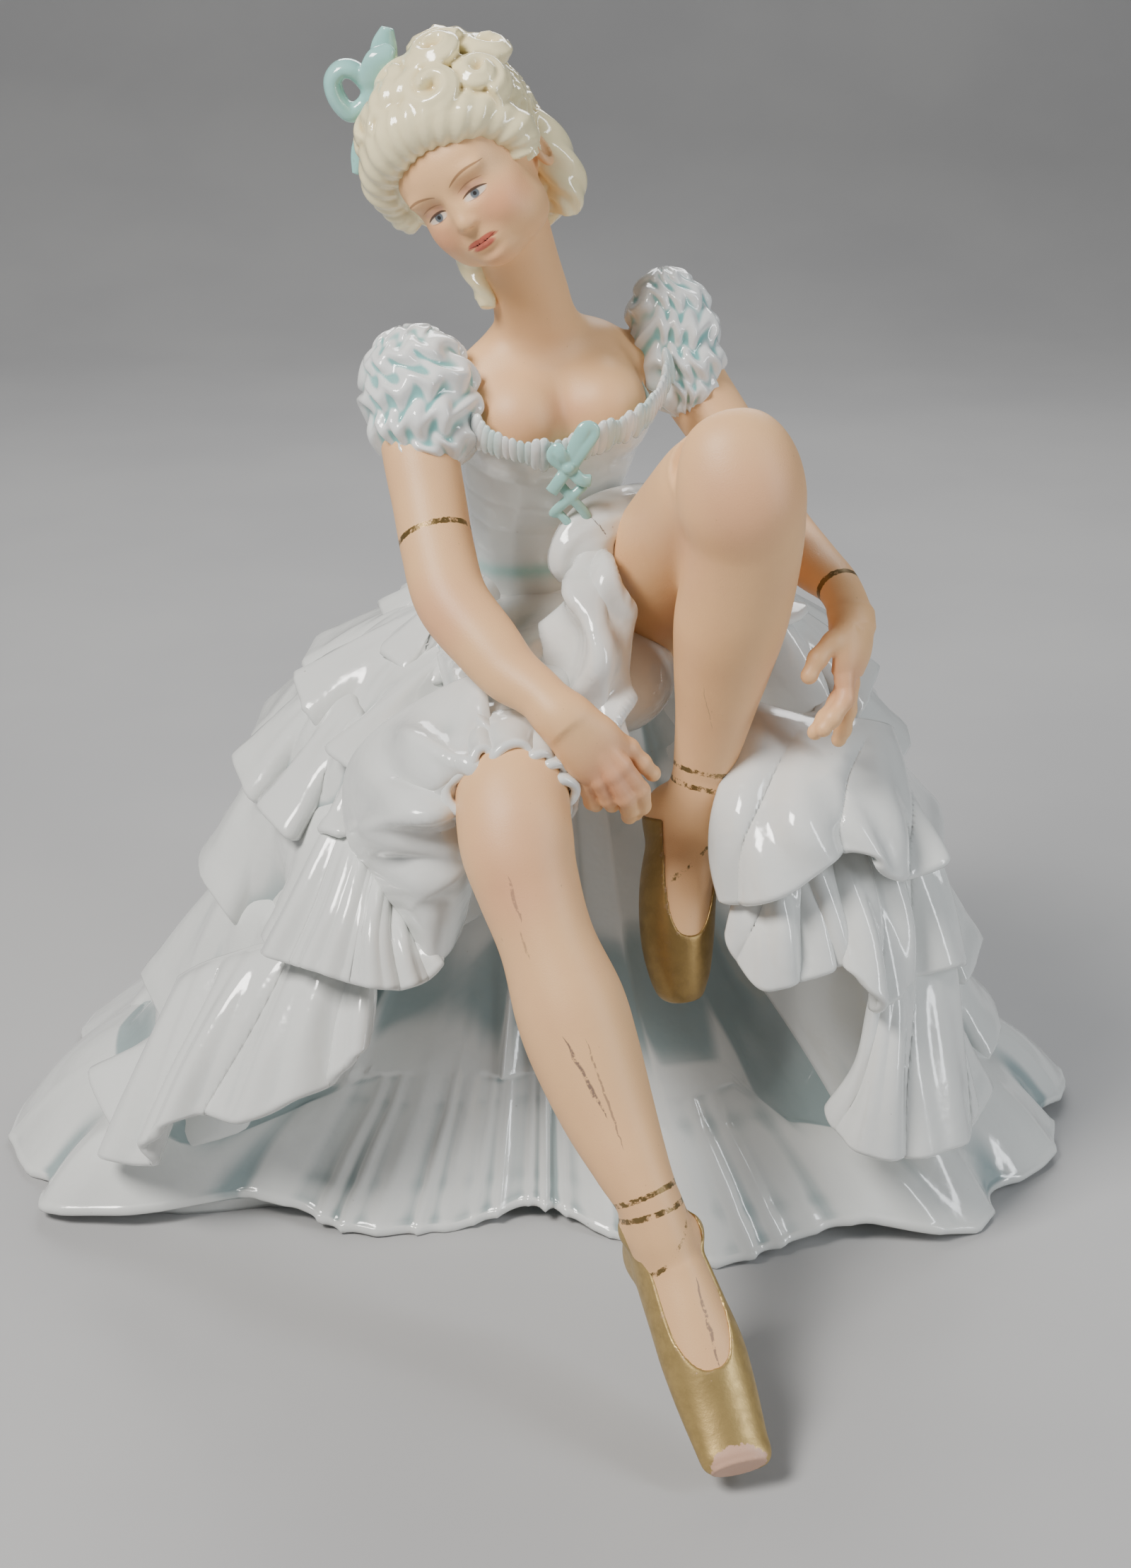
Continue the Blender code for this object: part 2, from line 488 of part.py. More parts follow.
# The bodice
def sleeve(centre, low, radii, axes_side):
    """Puffed sleeve of gathered rows of frill."""
    axis = unit(np.array(low) - np.array(centre))
    side = unit(np.array(axes_side) - axis * np.dot(axes_side, axis))
    axes = (side, np.cross(axis, side), axis)

    def rows(d):
        around = math.atan2(d.y, d.x)
        return 1.0 + 0.065 * math.sin(15 * d.z + 1.1 * math.sin(6 * around) + 0.7 * math.sin(11 * around + 1))
    return ball(centre, radii, axes, rings=30, carve=rows)


def bodice():
    def boned(t, a):
        return 1.0 + 0.012 * math.sin(14 * a) * ease(t, 0.05, 0.2)
    shell = limb([
        (1, 11, 142, 22.5, 17.5, 0.1), (0, 7, 152, 18.2, 14.2, 0.18), (-0.2, 4, 160, 17.3, 13.8, 0.22),
        (-0.5, 0, 172, 18.6, 15, 0.3), (0, -4, 183, 20.6, 17, 0.38), (1, -7.5, 193, 22.6, 17.2, 0.42),
        (1, -8.5, 198, 22.4, 15.5, 0.42),
    ], (1, 0, 0), rings=36, around=36, ripple=boned)
    neckline = [(-22, -22, 208), (-19, -27, 201), (-12, -31.5, 196.5), (-3, -33.5, 194), (5, -32, 194.5),
                (11, -30.5, 197), (19, -27, 198.5), (26, -20, 202), (28.5, -12, 208)]

    def gathers(t, a):
        return 1.0 + 0.16 * math.sin(2 * math.pi * 26 * t)
    frill = limb([(*p, 2.2, 2.0) for p in neckline], (0, 0, 1), rings=120, around=8, ripple=gathers)
    lacing = []
    for i, height in enumerate((200, 194.5, 189, 184)):
        y = -34.5 + 2.1 * i
        for way in (-1, 1):
            x = 9 + 0.9 * i
            loop = [(x, y, height, 1.4, 1.1), (x + 0.5 + 3.4 * way, y - 0.6, height - 2.4, 1.9, 1.1),
                    (x + 0.7 + 3.0 * way, y + 0.8, height - 5.6, 1.1, 0.9)]
            lacing.append(limb(loop, (1, 0, 0), rings=8, around=8))
    return [shell, frill, *lacing]


def sleeves():
    near = sleeve((-29.5, -24, 203.5), (-26, -31, 189), (13.2, 13.2, 15.5), (1, 0, 0))
    far = sleeve((30.5, 3.5, 209.5), (38, -1, 198), (11.8, 11.8, 14), (1, 0, 0))
    return [near, far]


def press(forms):
    """Presses all forms together into one solid, thins its facets and cuts it flat to stand on."""
    clay = bmesh.new()
    for form in forms:
        part = bpy.data.meshes.new("form")
        form.to_mesh(part)
        form.free()
        clay.from_mesh(part)
        bpy.data.meshes.remove(part)
    mesh = bpy.data.meshes.new("figurine")
    clay.to_mesh(mesh)
    clay.free()
    figure = bpy.data.objects.new("ballerina_figurine", mesh)
    bpy.context.scene.collection.objects.link(figure)
    melt = figure.modifiers.new("melt", "REMESH")
    melt.mode = "VOXEL"
    melt.voxel_size = GRAIN
    soften = figure.modifiers.new("soften", "SMOOTH")
    soften.factor = 0.5
    soften.iterations = 2
    apply_modifiers(figure)
    keep_largest_island(figure)
    thin = figure.modifiers.new("thin", "DECIMATE")
    thin.ratio = FACETS / sum(len(f.vertices) - 2 for f in figure.data.polygons)
    apply_modifiers(figure)
    cut_flat(figure)
    mend_pinches(figure)
    return figure


def apply_modifiers(figure):
    graph = bpy.context.evaluated_depsgraph_get()
    solid = bpy.data.meshes.new_from_object(figure.evaluated_get(graph))
    figure.modifiers.clear()
    figure.data = solid


def keep_largest_island(figure):
    """Drops closed pockets left between the forms."""
    bm = bmesh.new()
    bm.from_mesh(figure.data)
    seen = set()
    islands = []
    for start in bm.verts:
        if start in seen:
            continue
        seen.add(start)
        island = [start]
        for v in island:
            for edge in v.link_edges:
                other = edge.other_vert(v)
                if other not in seen:
                    seen.add(other)
                    island.append(other)
        islands.append(island)
    islands.sort(key=len)
    bmesh.ops.delete(bm, geom=[v for island in islands[:-1] for v in island], context="VERTS")
    bm.to_mesh(figure.data)
    bm.free()


def cut_flat(figure):
    """Grinds the underside flat at the height of the table."""
    bm = bmesh.new()
    bm.from_mesh(figure.data)
    bmesh.ops.triangulate(bm, faces=bm.faces)
    cut = bmesh.ops.bisect_plane(bm, geom=bm.verts[:] + bm.edges[:] + bm.faces[:], dist=1e-6,
                                 plane_co=(0, 0, 0),
                                 plane_no=(0, 0, 1), clear_inner=True)
    rim = [e for e in cut["geom_cut"] if isinstance(e, bmesh.types.BMEdge)]
    bmesh.ops.triangle_fill(bm, edges=rim, use_beauty=True, normal=(0, 0, -1))
    bmesh.ops.recalc_face_normals(bm, faces=bm.faces)
    bm.to_mesh(figure.data)
    bm.free()


def mend_pinches(figure):
    """Opens the few places where facets pinch together and closes each hole again."""
    bm = bmesh.new()
    bm.from_mesh(figure.data)
    pinched = {v for e in bm.edges if len(e.link_faces) != 2 for v in e.verts}
    while pinched:
        bmesh.ops.delete(bm, geom=list(pinched), context="VERTS")
        loose = [v for v in bm.verts if not v.link_faces]
        bmesh.ops.delete(bm, geom=loose, context="VERTS")
        rim = [e for e in bm.edges if len(e.link_faces) == 1]
        patch = bmesh.ops.holes_fill(bm, edges=rim, sides=0)
        bmesh.ops.triangulate(bm, faces=patch["faces"])
        pinched = {v for e in bm.edges if len(e.link_faces) != 2 for v in e.verts}
    bmesh.ops.recalc_face_normals(bm, faces=bm.faces)
    bm.to_mesh(figure.data)
    bm.free()


def porcelain():
    finish = bpy.data.materials.new("glazed_porcelain")
    finish.use_nodes = True
    surface = finish.node_tree.nodes["Principled BSDF"]
    surface.inputs["Base Color"].default_value = (0.78, 0.79, 0.79, 1.0)
    surface.inputs["Roughness"].default_value = 0.15
    surface.inputs["Metallic"].default_value = 0.0
    return finish


for old in list(bpy.data.objects):
    bpy.data.objects.remove(old)

figurine = press([
    skirt(), thigh_cover(), wing(), side_drape_lip(), lower_lobe(), *rolled_bunch(),
    *torso(), *arms(), *hands(), *legs(), *feet(), *head(), *hair(), *hair_bow(), *bodice(), *sleeves(),
])
figurine.data.materials.clear()
figurine.data.materials.append(porcelain())
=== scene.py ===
# %% [markdown]
# # A porcelain dancer who ties her slipper
# The real figurine is one hollow porcelain casting. Its skin is matte unglazed bisque, its dress is covered
# in a thick white glaze, and its hair, bows and slippers are painted. This lesson builds each surface as
# a piece of its own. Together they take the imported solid's place, which stays the frame for every size.

import math

import bpy
import numpy as np
import openvdb as vdb
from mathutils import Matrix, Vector


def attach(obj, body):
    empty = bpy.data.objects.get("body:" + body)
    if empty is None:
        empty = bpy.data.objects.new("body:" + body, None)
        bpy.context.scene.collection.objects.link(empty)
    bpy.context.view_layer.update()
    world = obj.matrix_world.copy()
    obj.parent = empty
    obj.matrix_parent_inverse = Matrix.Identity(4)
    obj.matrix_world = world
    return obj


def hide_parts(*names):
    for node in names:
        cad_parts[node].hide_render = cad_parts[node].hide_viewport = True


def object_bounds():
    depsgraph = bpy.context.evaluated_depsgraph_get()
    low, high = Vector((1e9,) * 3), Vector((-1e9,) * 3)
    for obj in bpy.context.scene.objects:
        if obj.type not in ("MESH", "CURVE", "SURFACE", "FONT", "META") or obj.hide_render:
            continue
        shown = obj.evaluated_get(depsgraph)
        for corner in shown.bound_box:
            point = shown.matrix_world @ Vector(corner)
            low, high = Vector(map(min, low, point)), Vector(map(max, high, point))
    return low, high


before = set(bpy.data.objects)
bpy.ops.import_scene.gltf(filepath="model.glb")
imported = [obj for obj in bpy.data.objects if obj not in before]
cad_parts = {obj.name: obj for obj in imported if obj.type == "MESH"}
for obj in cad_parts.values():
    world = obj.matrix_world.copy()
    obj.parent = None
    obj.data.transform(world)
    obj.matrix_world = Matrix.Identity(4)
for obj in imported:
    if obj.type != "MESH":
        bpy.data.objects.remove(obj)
NODE = "ballerina_figurine"
cad_low, cad_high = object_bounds()
POSE_HEIGHT = 285.6  # height of the modelled pose, in its own millimetres
MM = (cad_high.z - cad_low.z) / POSE_HEIGHT
EYE = (0, -586.3, 342.8)  # where the photo's lens stood, mm
FOCAL, PHOTO_HEIGHT = 3560, 2219  # in the photo's pixels
print("frame box, mm:", [round(1000 * (h - l), 1) for l, h in zip(cad_low, cad_high)])

# %% [markdown]
# ## Helpers for curves and meshes
# Everything is measured in millimetres of the pose and becomes metres only when a mesh is made. A limb,
# a lock of hair or a ribbon is a tube through a few given stations, so one smooth curve helper
# serves them all. Meshes are written as whole arrays, which is much faster than adding faces one by one.

# %% Curve helpers
def unit(v):
    """Vector of length 1 in the same direction."""
    return np.array(v, float) / np.linalg.norm(v)


def ease(x, low, high):
    """0 below low, 1 above high, and a smooth rise between."""
    t = np.clip((x - low) / (high - low), 0.0, 1.0)
    return t * t * (3 - 2 * t)


def cusp(phase, sharp):
    """Wave from -1 to 1 with pointed ridges and round valleys, as folds in clay have."""
    return 1 - 2 * np.abs(np.sin(phase)) ** sharp


def smooth_rows(rows, count):
    """Rows of numbers read along a smooth curve through the given rows; count may be a list of places."""
    keys = np.array(rows, float)
    last = len(keys) - 1
    s = np.linspace(0, last, count) if np.isscalar(count) else np.asarray(count) * last
    i = np.clip(s.astype(int), 0, last - 1)
    t = (s - i)[:, None]
    b, c = keys[i], keys[i + 1]
    a = np.where((i > 0)[:, None], keys[i - 1], 2 * b - c)
    d = np.where((i + 2 <= last)[:, None], keys[np.minimum(i + 2, last)], 2 * c - b)
    bend = (2 * a - 5 * b + 4 * c - d) * t**2 + (3 * b - a - 3 * c + d) * t**3
    return 0.5 * (2 * b + (c - a) * t + bend)


def smooth_lookup(x, table):
    """Height of a smooth curve through (x, value) pairs."""
    places = np.array([p for p, _ in table], float)
    share = np.interp(x, places, np.arange(len(places)) / (len(places) - 1))
    return smooth_rows([[v] for _, v in table], np.ravel(share))[:, 0].reshape(np.shape(x))


# %% Mesh helpers
def make_mesh(name, points, faces):
    """Mesh from points in pose millimetres and a list of face arrays, with its faces pointing outwards."""
    points = np.asarray(points, float).reshape(-1, 3)
    corners = np.concatenate([np.asarray(f).ravel() for f in faces]).astype(np.int32)
    sizes = np.concatenate([np.full(len(f), np.shape(f)[1]) for f in faces])
    starts = np.concatenate([[0], np.cumsum(sizes)[:-1]]).astype(np.int32)
    first, second = points[corners[starts]], points[corners[starts + 1]]
    third = points[corners[starts + 2]]
    if np.einsum("ij,ij->i", first, np.cross(second, third)).sum() < 0:
        corners = np.concatenate([np.asarray(f)[:, ::-1].ravel() for f in faces]).astype(np.int32)
    mesh = bpy.data.meshes.new(name)
    mesh.vertices.add(len(points))
    mesh.vertices.foreach_set("co", (points * MM).astype(np.float32).ravel())
    mesh.loops.add(len(corners))
    mesh.loops.foreach_set("vertex_index", corners)
    mesh.polygons.add(len(starts))
    mesh.polygons.foreach_set("loop_start", starts)
    mesh.polygons.foreach_set("use_smooth", np.ones(len(starts), bool))
    mesh.update(calc_edges=True)
    return mesh


def ring_faces(rings, around):
    """Quads of a tube whose rings are stored one after another, with the two caps as fans."""
    i, j = np.meshgrid(np.arange(rings - 1), np.arange(around), indexing="ij")
    k = (j + 1) % around
    quads = np.stack([i * around + j, i * around + k, (i + 1) * around + k, (i + 1) * around + j], axis=-1)
    j = np.arange(around)
    k = (j + 1) % around
    low, high = rings * around, rings * around + 1
    top = (rings - 1) * around
    low_cap = np.stack([k, j, np.full(around, low)], 1)
    high_cap = np.stack([top + j, top + k, np.full(around, high)], 1)
    return [quads.reshape(-1, 4), np.concatenate([low_cap, high_cap])]


def tube(stations, side, rings=60, around=28, ripple=None):
    """Points and faces of a tube through stations of (x, y, z, half width along side, half depth)."""
    rows = smooth_rows(stations, rings)
    tangents = np.gradient(rows[:, :3], axis=0)
    tangents /= np.linalg.norm(tangents, axis=1, keepdims=True)
    if rows.shape[1] == 6:
        reach = np.stack([np.cos(rows[:, 5]), np.sin(rows[:, 5]), np.zeros(rings)], 1)
    else:
        reach = np.tile(np.array(side, float), (rings, 1))
    u = reach - tangents * np.sum(tangents * reach, axis=1, keepdims=True)
    u /= np.linalg.norm(u, axis=1, keepdims=True)
    v = np.cross(tangents, u)
    a = np.linspace(0, 2 * math.pi, around, endpoint=False)[None, :, None]
    reach = u[:, None] * np.cos(a) * rows[:, None, 3:4] + v[:, None] * np.sin(a) * rows[:, None, 4:5]
    if ripple:
        t = np.linspace(0, 1, rings)[:, None]
        reach = reach * np.broadcast_to(ripple(t, a[:, :, 0]), (rings, around))[:, :, None]
    grid = rows[:, None, :3] + reach
    return np.concatenate([grid.reshape(-1, 3), rows[[0, -1], :3]]), ring_faces(rings, around)


# %% [markdown]
# ## Clay: forms that melt together
# Skin has no seams: an arm flows into a shoulder and a nose into a cheek. A common way to get that is
# sculpting, but a script can do it with a distance field. Each form is a field of distances to its own
# surface, and two fields are joined with a soft minimum, which leaves a fillet as a thumb would in clay.
# Blender's own volume library turns tubes into fields and turns the finished field back into quads.

# %% Distance fields
BAND = 9  # cells of distance that a field knows on each side of its surface


def clay_block(low, high, grain):
    """Empty field over a box; grain is the size of its cells in mm."""
    first = np.floor(np.array(low) / grain).astype(int)
    shape = np.ceil(np.array(high) / grain).astype(int) - first
    return {"first": first, "grain": grain, "depth": np.full(shape, BAND * grain, np.float32)}


def window(clay, low, high):
    """The part of a block inside a box: its slices and the places of its cells."""
    start = np.clip(np.floor(np.array(low) / clay["grain"]).astype(int) - clay["first"], 0, None)
    stop = np.minimum(np.ceil(np.array(high) / clay["grain"]).astype(int) - clay["first"] + 1, clay["depth"].shape)
    cut = tuple(slice(a, max(b, a)) for a, b in zip(start, stop))
    axes = [(np.arange(s.start, s.stop) + f) * clay["grain"] for s, f in zip(cut, clay["first"])]
    return cut, np.meshgrid(*[a.astype(np.float32) for a in axes], indexing="ij", sparse=True)


def whole(clay):
    """All of a block: its slices and the places of its cells."""
    low = np.array(clay["first"]) * clay["grain"]
    return window(clay, low, low + np.array(clay["depth"].shape) * clay["grain"])


def soft_min(a, b, blend):
    """Smaller of two distances, with a fillet about blend wide where they meet."""
    h = np.clip(0.5 + 0.5 * (b - a) / blend, 0, 1)
    return b + (a - b) * h - blend * h * (1 - h)


def oval_depth(place, centre, radii, axes):
    """Distance to an oval whose own axes are the rows of axes."""
    offset = [p - c for p, c in zip(place, centre)]
    near, steep = 0.0, 0.0
    for axis, r in zip(axes, radii):
        along = (offset[0] * axis[0] + offset[1] * axis[1] + offset[2] * axis[2]) / r
        near = near + along**2
        steep = steep + (along / r) ** 2
    near = np.sqrt(near)
    return near * (near - 1) / np.sqrt(steep + 1e-9)


LEVEL = np.eye(3)


def add_oval(clay, centre, radii, axes=LEVEL, blend=2.0, dig=False):
    """Presses an oval of clay on, or digs an oval hollow out."""
    reach = max(radii) + 2 * blend + 2
    cut, place = window(clay, np.array(centre) - reach, np.array(centre) + reach)
    form = oval_depth(place, centre, radii, axes)
    old = clay["depth"][cut]
    clay["depth"][cut] = -soft_min(-old, form, blend) if dig else soft_min(old, form, blend)


def add_form(clay, form, blend=2.0):
    """Presses a closed tube of clay on."""
    points, faces = form
    points = np.asarray(points, np.float32)
    grid = vdb.FloatGrid.createLevelSetFromPolygons(
        points, triangles=faces[1].astype(np.uint32), quads=faces[0].astype(np.uint32),
        transform=vdb.createLinearTransform(clay["grain"]), halfWidth=float(BAND))
    margin = BAND * clay["grain"]
    cut, _ = window(clay, points.min(0) - margin, points.max(0) + margin)
    start = [s.start + f for s, f in zip(cut, clay["first"])]
    depth = np.zeros(clay["depth"][cut].shape, np.float32)
    grid.copyToArray(depth, ijk=tuple(int(s) for s in start))
    clay["depth"][cut] = soft_min(clay["depth"][cut], depth, blend)


def neighbours(mesh):
    """Every edge as a pair of point numbers."""
    pairs = np.zeros(len(mesh.edges) * 2, np.int32)
    mesh.edges.foreach_get("vertices", pairs)
    return pairs.reshape(-1, 2)


def average(values, pairs):
    """Mean of each point's neighbours."""
    count = np.bincount(pairs.ravel(), minlength=len(values)).astype(float)
    flat = values.reshape(len(values), -1)
    one, other = pairs.T
    sums = np.stack([np.bincount(one, flat[other, c], len(values)) + np.bincount(other, flat[one, c], len(values))
                     for c in range(flat.shape[1])], 1)
    return (sums / np.maximum(count, 1)[:, None]).reshape(values.shape)


def places(mesh):
    """The points of a mesh in mm."""
    co = np.zeros(len(mesh.vertices) * 3, np.float32)
    mesh.vertices.foreach_get("co", co)
    return co.reshape(-1, 3) / MM


def soften(mesh, rounds):
    """Smooths without shrinking: one step in, and a slightly longer one out."""
    pairs = neighbours(mesh)
    co = places(mesh).astype(float)
    for _ in range(rounds):
        for step in (0.5, -0.52):
            co = co + step * (average(co, pairs) - co)
    mesh.vertices.foreach_set("co", (co * MM).astype(np.float32).ravel())
    mesh.update()


def thin_out(mesh, keep):
    """Keeps a share of the facets, most of them where the surface bends."""
    holder = bpy.data.objects.new("holder", mesh)
    bpy.context.scene.collection.objects.link(holder)
    holder.modifiers.new("thin", "DECIMATE").ratio = keep
    graph = bpy.context.evaluated_depsgraph_get()
    thin = bpy.data.meshes.new_from_object(holder.evaluated_get(graph))
    bpy.data.objects.remove(holder)
    thin.polygons.foreach_set("use_smooth", np.ones(len(thin.polygons), bool))
    name = mesh.name
    bpy.data.meshes.remove(mesh)
    thin.name = name
    return thin


def fire(clay, name, rounds, keep=1.0):
    """Turns a block's surface into a closed mesh; keep is the share of its facets that stays."""
    grid = vdb.FloatGrid(BAND * clay["grain"])
    grid.copyFromArray(clay["depth"], ijk=tuple(int(f) for f in clay["first"]))
    grid.transform = vdb.createLinearTransform(clay["grain"])
    points, quads = grid.convertToQuads(isovalue=0.0)
    mesh = make_mesh(name, points, [quads])
    soften(mesh, rounds)
    return thin_out(mesh, keep) if keep < 1 else mesh


# %% [markdown]
# ## Reading hollows
# Hollows are painted darker: painted shade, and on the glazes also glaze that pools there. Paint is wiped off
# ridges. Each finished mesh gets a value per point that says how hollow its surface is there, and the materials
# read it.

# %% Hollow values and finished pieces
def mark(mesh, name, values):
    """Stores one value per point, for a material to read."""
    layer = mesh.attributes.get(name) or mesh.attributes.new(name, "FLOAT", "POINT")
    layer.data.foreach_set("value", np.asarray(values, np.float32))


def mark_hollows(mesh, spread=4, gain=1.0):
    """1 in hollows, 0 on ridges and 0.5 where the surface is flat, spread over a few points."""
    pairs = neighbours(mesh)
    co = places(mesh).astype(float)
    normal = np.zeros(len(co) * 3, np.float32)
    mesh.vertex_normals.foreach_get("vector", normal)
    normal = normal.reshape(-1, 3)
    wide = co
    for _ in range(spread):
        wide = average(wide, pairs)
    depth = np.sum((wide - co) * normal, axis=1)
    for _ in range(2):
        depth = average(depth, pairs)
    mark(mesh, "hollow", np.clip(0.5 + depth * gain, 0, 1))


pieces_made = []


def finish_piece(mesh, finish):
    """Names, colours and seats a finished mesh on the figurine's body."""
    piece = bpy.data.objects.new(mesh.name, mesh)
    bpy.context.scene.collection.objects.link(piece)
    if finish:
        mesh.materials.append(finish)
    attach(piece, "root")
    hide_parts(NODE)
    pieces_made.append(piece)
    mesh.calc_loop_triangles()
    print(f"{mesh.name}: {len(mesh.loop_triangles)} triangles")


# %% [markdown]
# ## The head
# The head is measured in its own directions: towards her left ear, along her gaze, and up to the crown.
# That keeps the face easy to lay out on the classic proportions: eyes half way up the head, brow, nose
# and chin a third apart, and a face five eyes wide. The whole head leans and turns by these three
# directions alone.

# %% Directions of the head
HEAD = np.array((-14.6, -25.0, 253.8))
LEAN = math.radians(11)  # further lean of the head towards her right shoulder
SIDE = unit((0.843, -0.363, 0.398))
GAZE = unit((-0.302, -0.930, -0.208))
GAZE = unit(GAZE - SIDE * np.dot(GAZE, SIDE))
SIDE = math.cos(LEAN) * SIDE + math.sin(LEAN) * np.cross(GAZE, SIDE)
UP = np.cross(GAZE, SIDE)
HEAD_AXES = np.array((SIDE, GAZE, UP))


def on_head(side, forward, up):
    """Place in mm of a point given in the head's own directions."""
    return HEAD + side * SIDE + forward * GAZE + up * UP


EYE_SIDE, EYE_UP = 5.5, 0.6  # middle of an eye
BROW_UP, NOSE_UP, MOUTH_UP, CHIN_UP = 4.8, -5.6, -9.6, -16.6
FACE_GRAIN = 0.42


# %% Face, neck and bust as one piece of clay
def face_forms(clay):
    """Skull, jaw, features of the face and ears, pressed on or dug out one by one."""
    def lump(side, forward, up, radii, blend=2.0, dig=False, tilt=0.0):
        axes = HEAD_AXES
        if tilt:
            c, s = math.cos(tilt), math.sin(tilt)
            axes = np.array((c * SIDE + s * UP, GAZE, c * UP - s * SIDE))
        add_oval(clay, on_head(side, forward, up), radii, axes, blend, dig)

    lump(0, -3, 6.5, (15.6, 18.5, 16.8), 3)
    lump(0, 4.6, -1.5, (12.4, 12.4, 15.0), 4)
    lump(0, 8.6, 7.5, (11.6, 8.2, 8.0), 4)
    lump(0, 10.4, CHIN_UP + 3.7, (5.0, 4.6, 3.7), 4.5)
    for way in (-1, 1):
        lump(6.6 * way, 9.4, -5.2, (4.6, 5.2, 5.2), 4)
        lump(7.2 * way, 4.6, -10.0, (5.0, 6.2, 5.2), 4)
        lump(EYE_SIDE * way, 18.1, EYE_UP + 0.6, (3.9, 3.0, 2.5), 2.2, dig=True, tilt=0.06 * way)
        lump(EYE_SIDE * way, 11.6, EYE_UP, (3.1, 3.5, 3.1), 0.8)
        lump(EYE_SIDE * way, 12.0, EYE_UP + 1.35, (3.35, 3.45, 2.1), 0.25, tilt=-0.10 * way)
        lump(EYE_SIDE * way, 11.9, EYE_UP - 2.15, (3.0, 2.9, 1.4), 0.6, tilt=0.05 * way)
        lump(5.6 * way, 14.2, BROW_UP + 0.4, (4.2, 2.0, 1.3), 2.0, tilt=-0.12 * way)
        lump(15.0 * way, -3.0, -2.2, (1.5, 3.0, 4.6), 1.0)
        lump(15.7 * way, -3.0, -2.0, (1.2, 1.9, 3.0), 0.6, dig=True)
    bridge = [(*on_head(0, f, u), w, w * 1.1) for f, u, w in
              ((13.9, 4.4, 1.6), (15.2, 1.6, 1.25), (16.2, -1.2, 1.25), (17.0, -3.6, 1.5), (16.8, -4.8, 1.3))]
    add_form(clay, tube(bridge, SIDE, rings=24, around=20), 2.0)
    lump(0, 17.0, NOSE_UP + 1.5, (1.45, 1.5, 1.25), 1.2)
    for way in (-1, 1):
        lump(1.75 * way, 15.6, NOSE_UP + 1.2, (1.05, 1.5, 1.05), 1.0)
    lump(0, 12.9, MOUTH_UP + 0.2, (4.4, 2.7, 3.0), 2.8)
    for way in (-1, 1):
        lump(1.5 * way, 14.0, MOUTH_UP + 0.65, (2.6, 1.25, 0.70), 0.8, tilt=-0.14 * way)
    lump(0, 14.0, MOUTH_UP - 0.85, (2.9, 1.35, 0.85), 0.8)
    lump(0, 15.7, MOUTH_UP - 0.05, (3.6, 0.7, 0.14), 0.25, dig=True)
    lump(0, 15.9, MOUTH_UP - 2.7, (2.4, 0.6, 0.6), 1.8, dig=True)


def bust_forms(clay):
    """Neck, shoulders and bust."""
    trunk = tube([
        (-0.2, 2, 160, 15.6, 12.4, 0.22), (-0.5, 1, 170, 17, 13.5, 0.3), (0, -4, 183, 19, 15, 0.38),
        (1, -7, 193, 21, 15, 0.42), (0, -7.5, 203, 22.5, 12.5, 0.42), (-1, -7.5, 209, 20, 9.8, 0.42),
        (-2, -9, 214.5, 14, 8.6, 0.42), (-2.5, -11, 220, 9.8, 8.4, 0.38), (-3.8, -13.5, 227, 8.8, 8.4, 0.3),
        (-6, -17, 235, 8.7, 8.6, 0.2), (-9, -21, 246, 8.9, 9.0, 0.0)], (1, 0, 0), rings=90, around=64)
    add_form(clay, trunk, 1.0)
    across = unit((0.90, 0.41, 0.13))
    onward = unit(np.cross((0, 0, 1), across))
    frame_axes = np.array((across, onward, unit(np.cross(across, onward))))
    add_oval(clay, (0, -6, 203), (33, 12, 11.5), frame_axes, 4)
    add_oval(clay, (-2, -8, 209.5), (20, 9.5, 8.5), frame_axes, 4)
    add_oval(clay, (-29.5, -20, 203), (8.5, 8.5, 8.5), blend=4)
    add_oval(clay, (29.5, 6.5, 208.5), (8.5, 8.5, 8.5), blend=4)
    add_oval(clay, (-6.4, -19.8, 198.0), (10.4, 10.6, 11.0), blend=5.0)
    add_oval(clay, (13.0, -13.0, 199.6), (10.4, 10.6, 11.0), blend=5.0)


def skin_face():
    """Head, neck and bust as one skin, cut off below inside the bodice."""
    clay = clay_block((-40, -50, 176), (42, 22, 279), FACE_GRAIN)
    bust_forms(clay)
    face_forms(clay)
    return fire(clay, "face_neck_and_bust", 2, 0.30)


face_mesh = skin_face()
mark_hollows(face_mesh, 3)
on_face = (places(face_mesh) - HEAD) @ HEAD_AXES.T
layer = face_mesh.attributes.new("face_place", "FLOAT_VECTOR", "POINT")
layer.data.foreach_set("vector", on_face.astype(np.float32).ravel())
print("face points:", len(on_face))

# %% [markdown]
# ## Arms and hands
# An arm is a tube whose width swells and narrows as the muscles do. A hand is a flat palm with five
# fingers, each a short tube through its own joints. All of it is pressed together as clay, so the webs
# between the fingers and the wrist come out soft. The upper ends stay hidden inside the sleeves.

# %% Arm and hand clay
HAND_GRAIN = 0.34


def finger(clay, joints, thick, blend=0.7):
    """Finger through its joints: full at the knuckle, narrow before the tip, round at the end."""
    joints = np.array(joints, float)
    taper = np.linspace(1.0, 0.74, len(joints))
    rows = [(*p, thick * s, thick * s) for p, s in zip(joints, taper)]
    add_form(clay, tube(rows, (0.3, 1.0, 0.2), rings=26, around=16), blend)
    add_oval(clay, joints[-1], (thick * 0.76,) * 3, blend=0.5)
    for p in joints[1:-1]:
        add_oval(clay, p, (thick * 0.94,) * 3, blend=0.9)


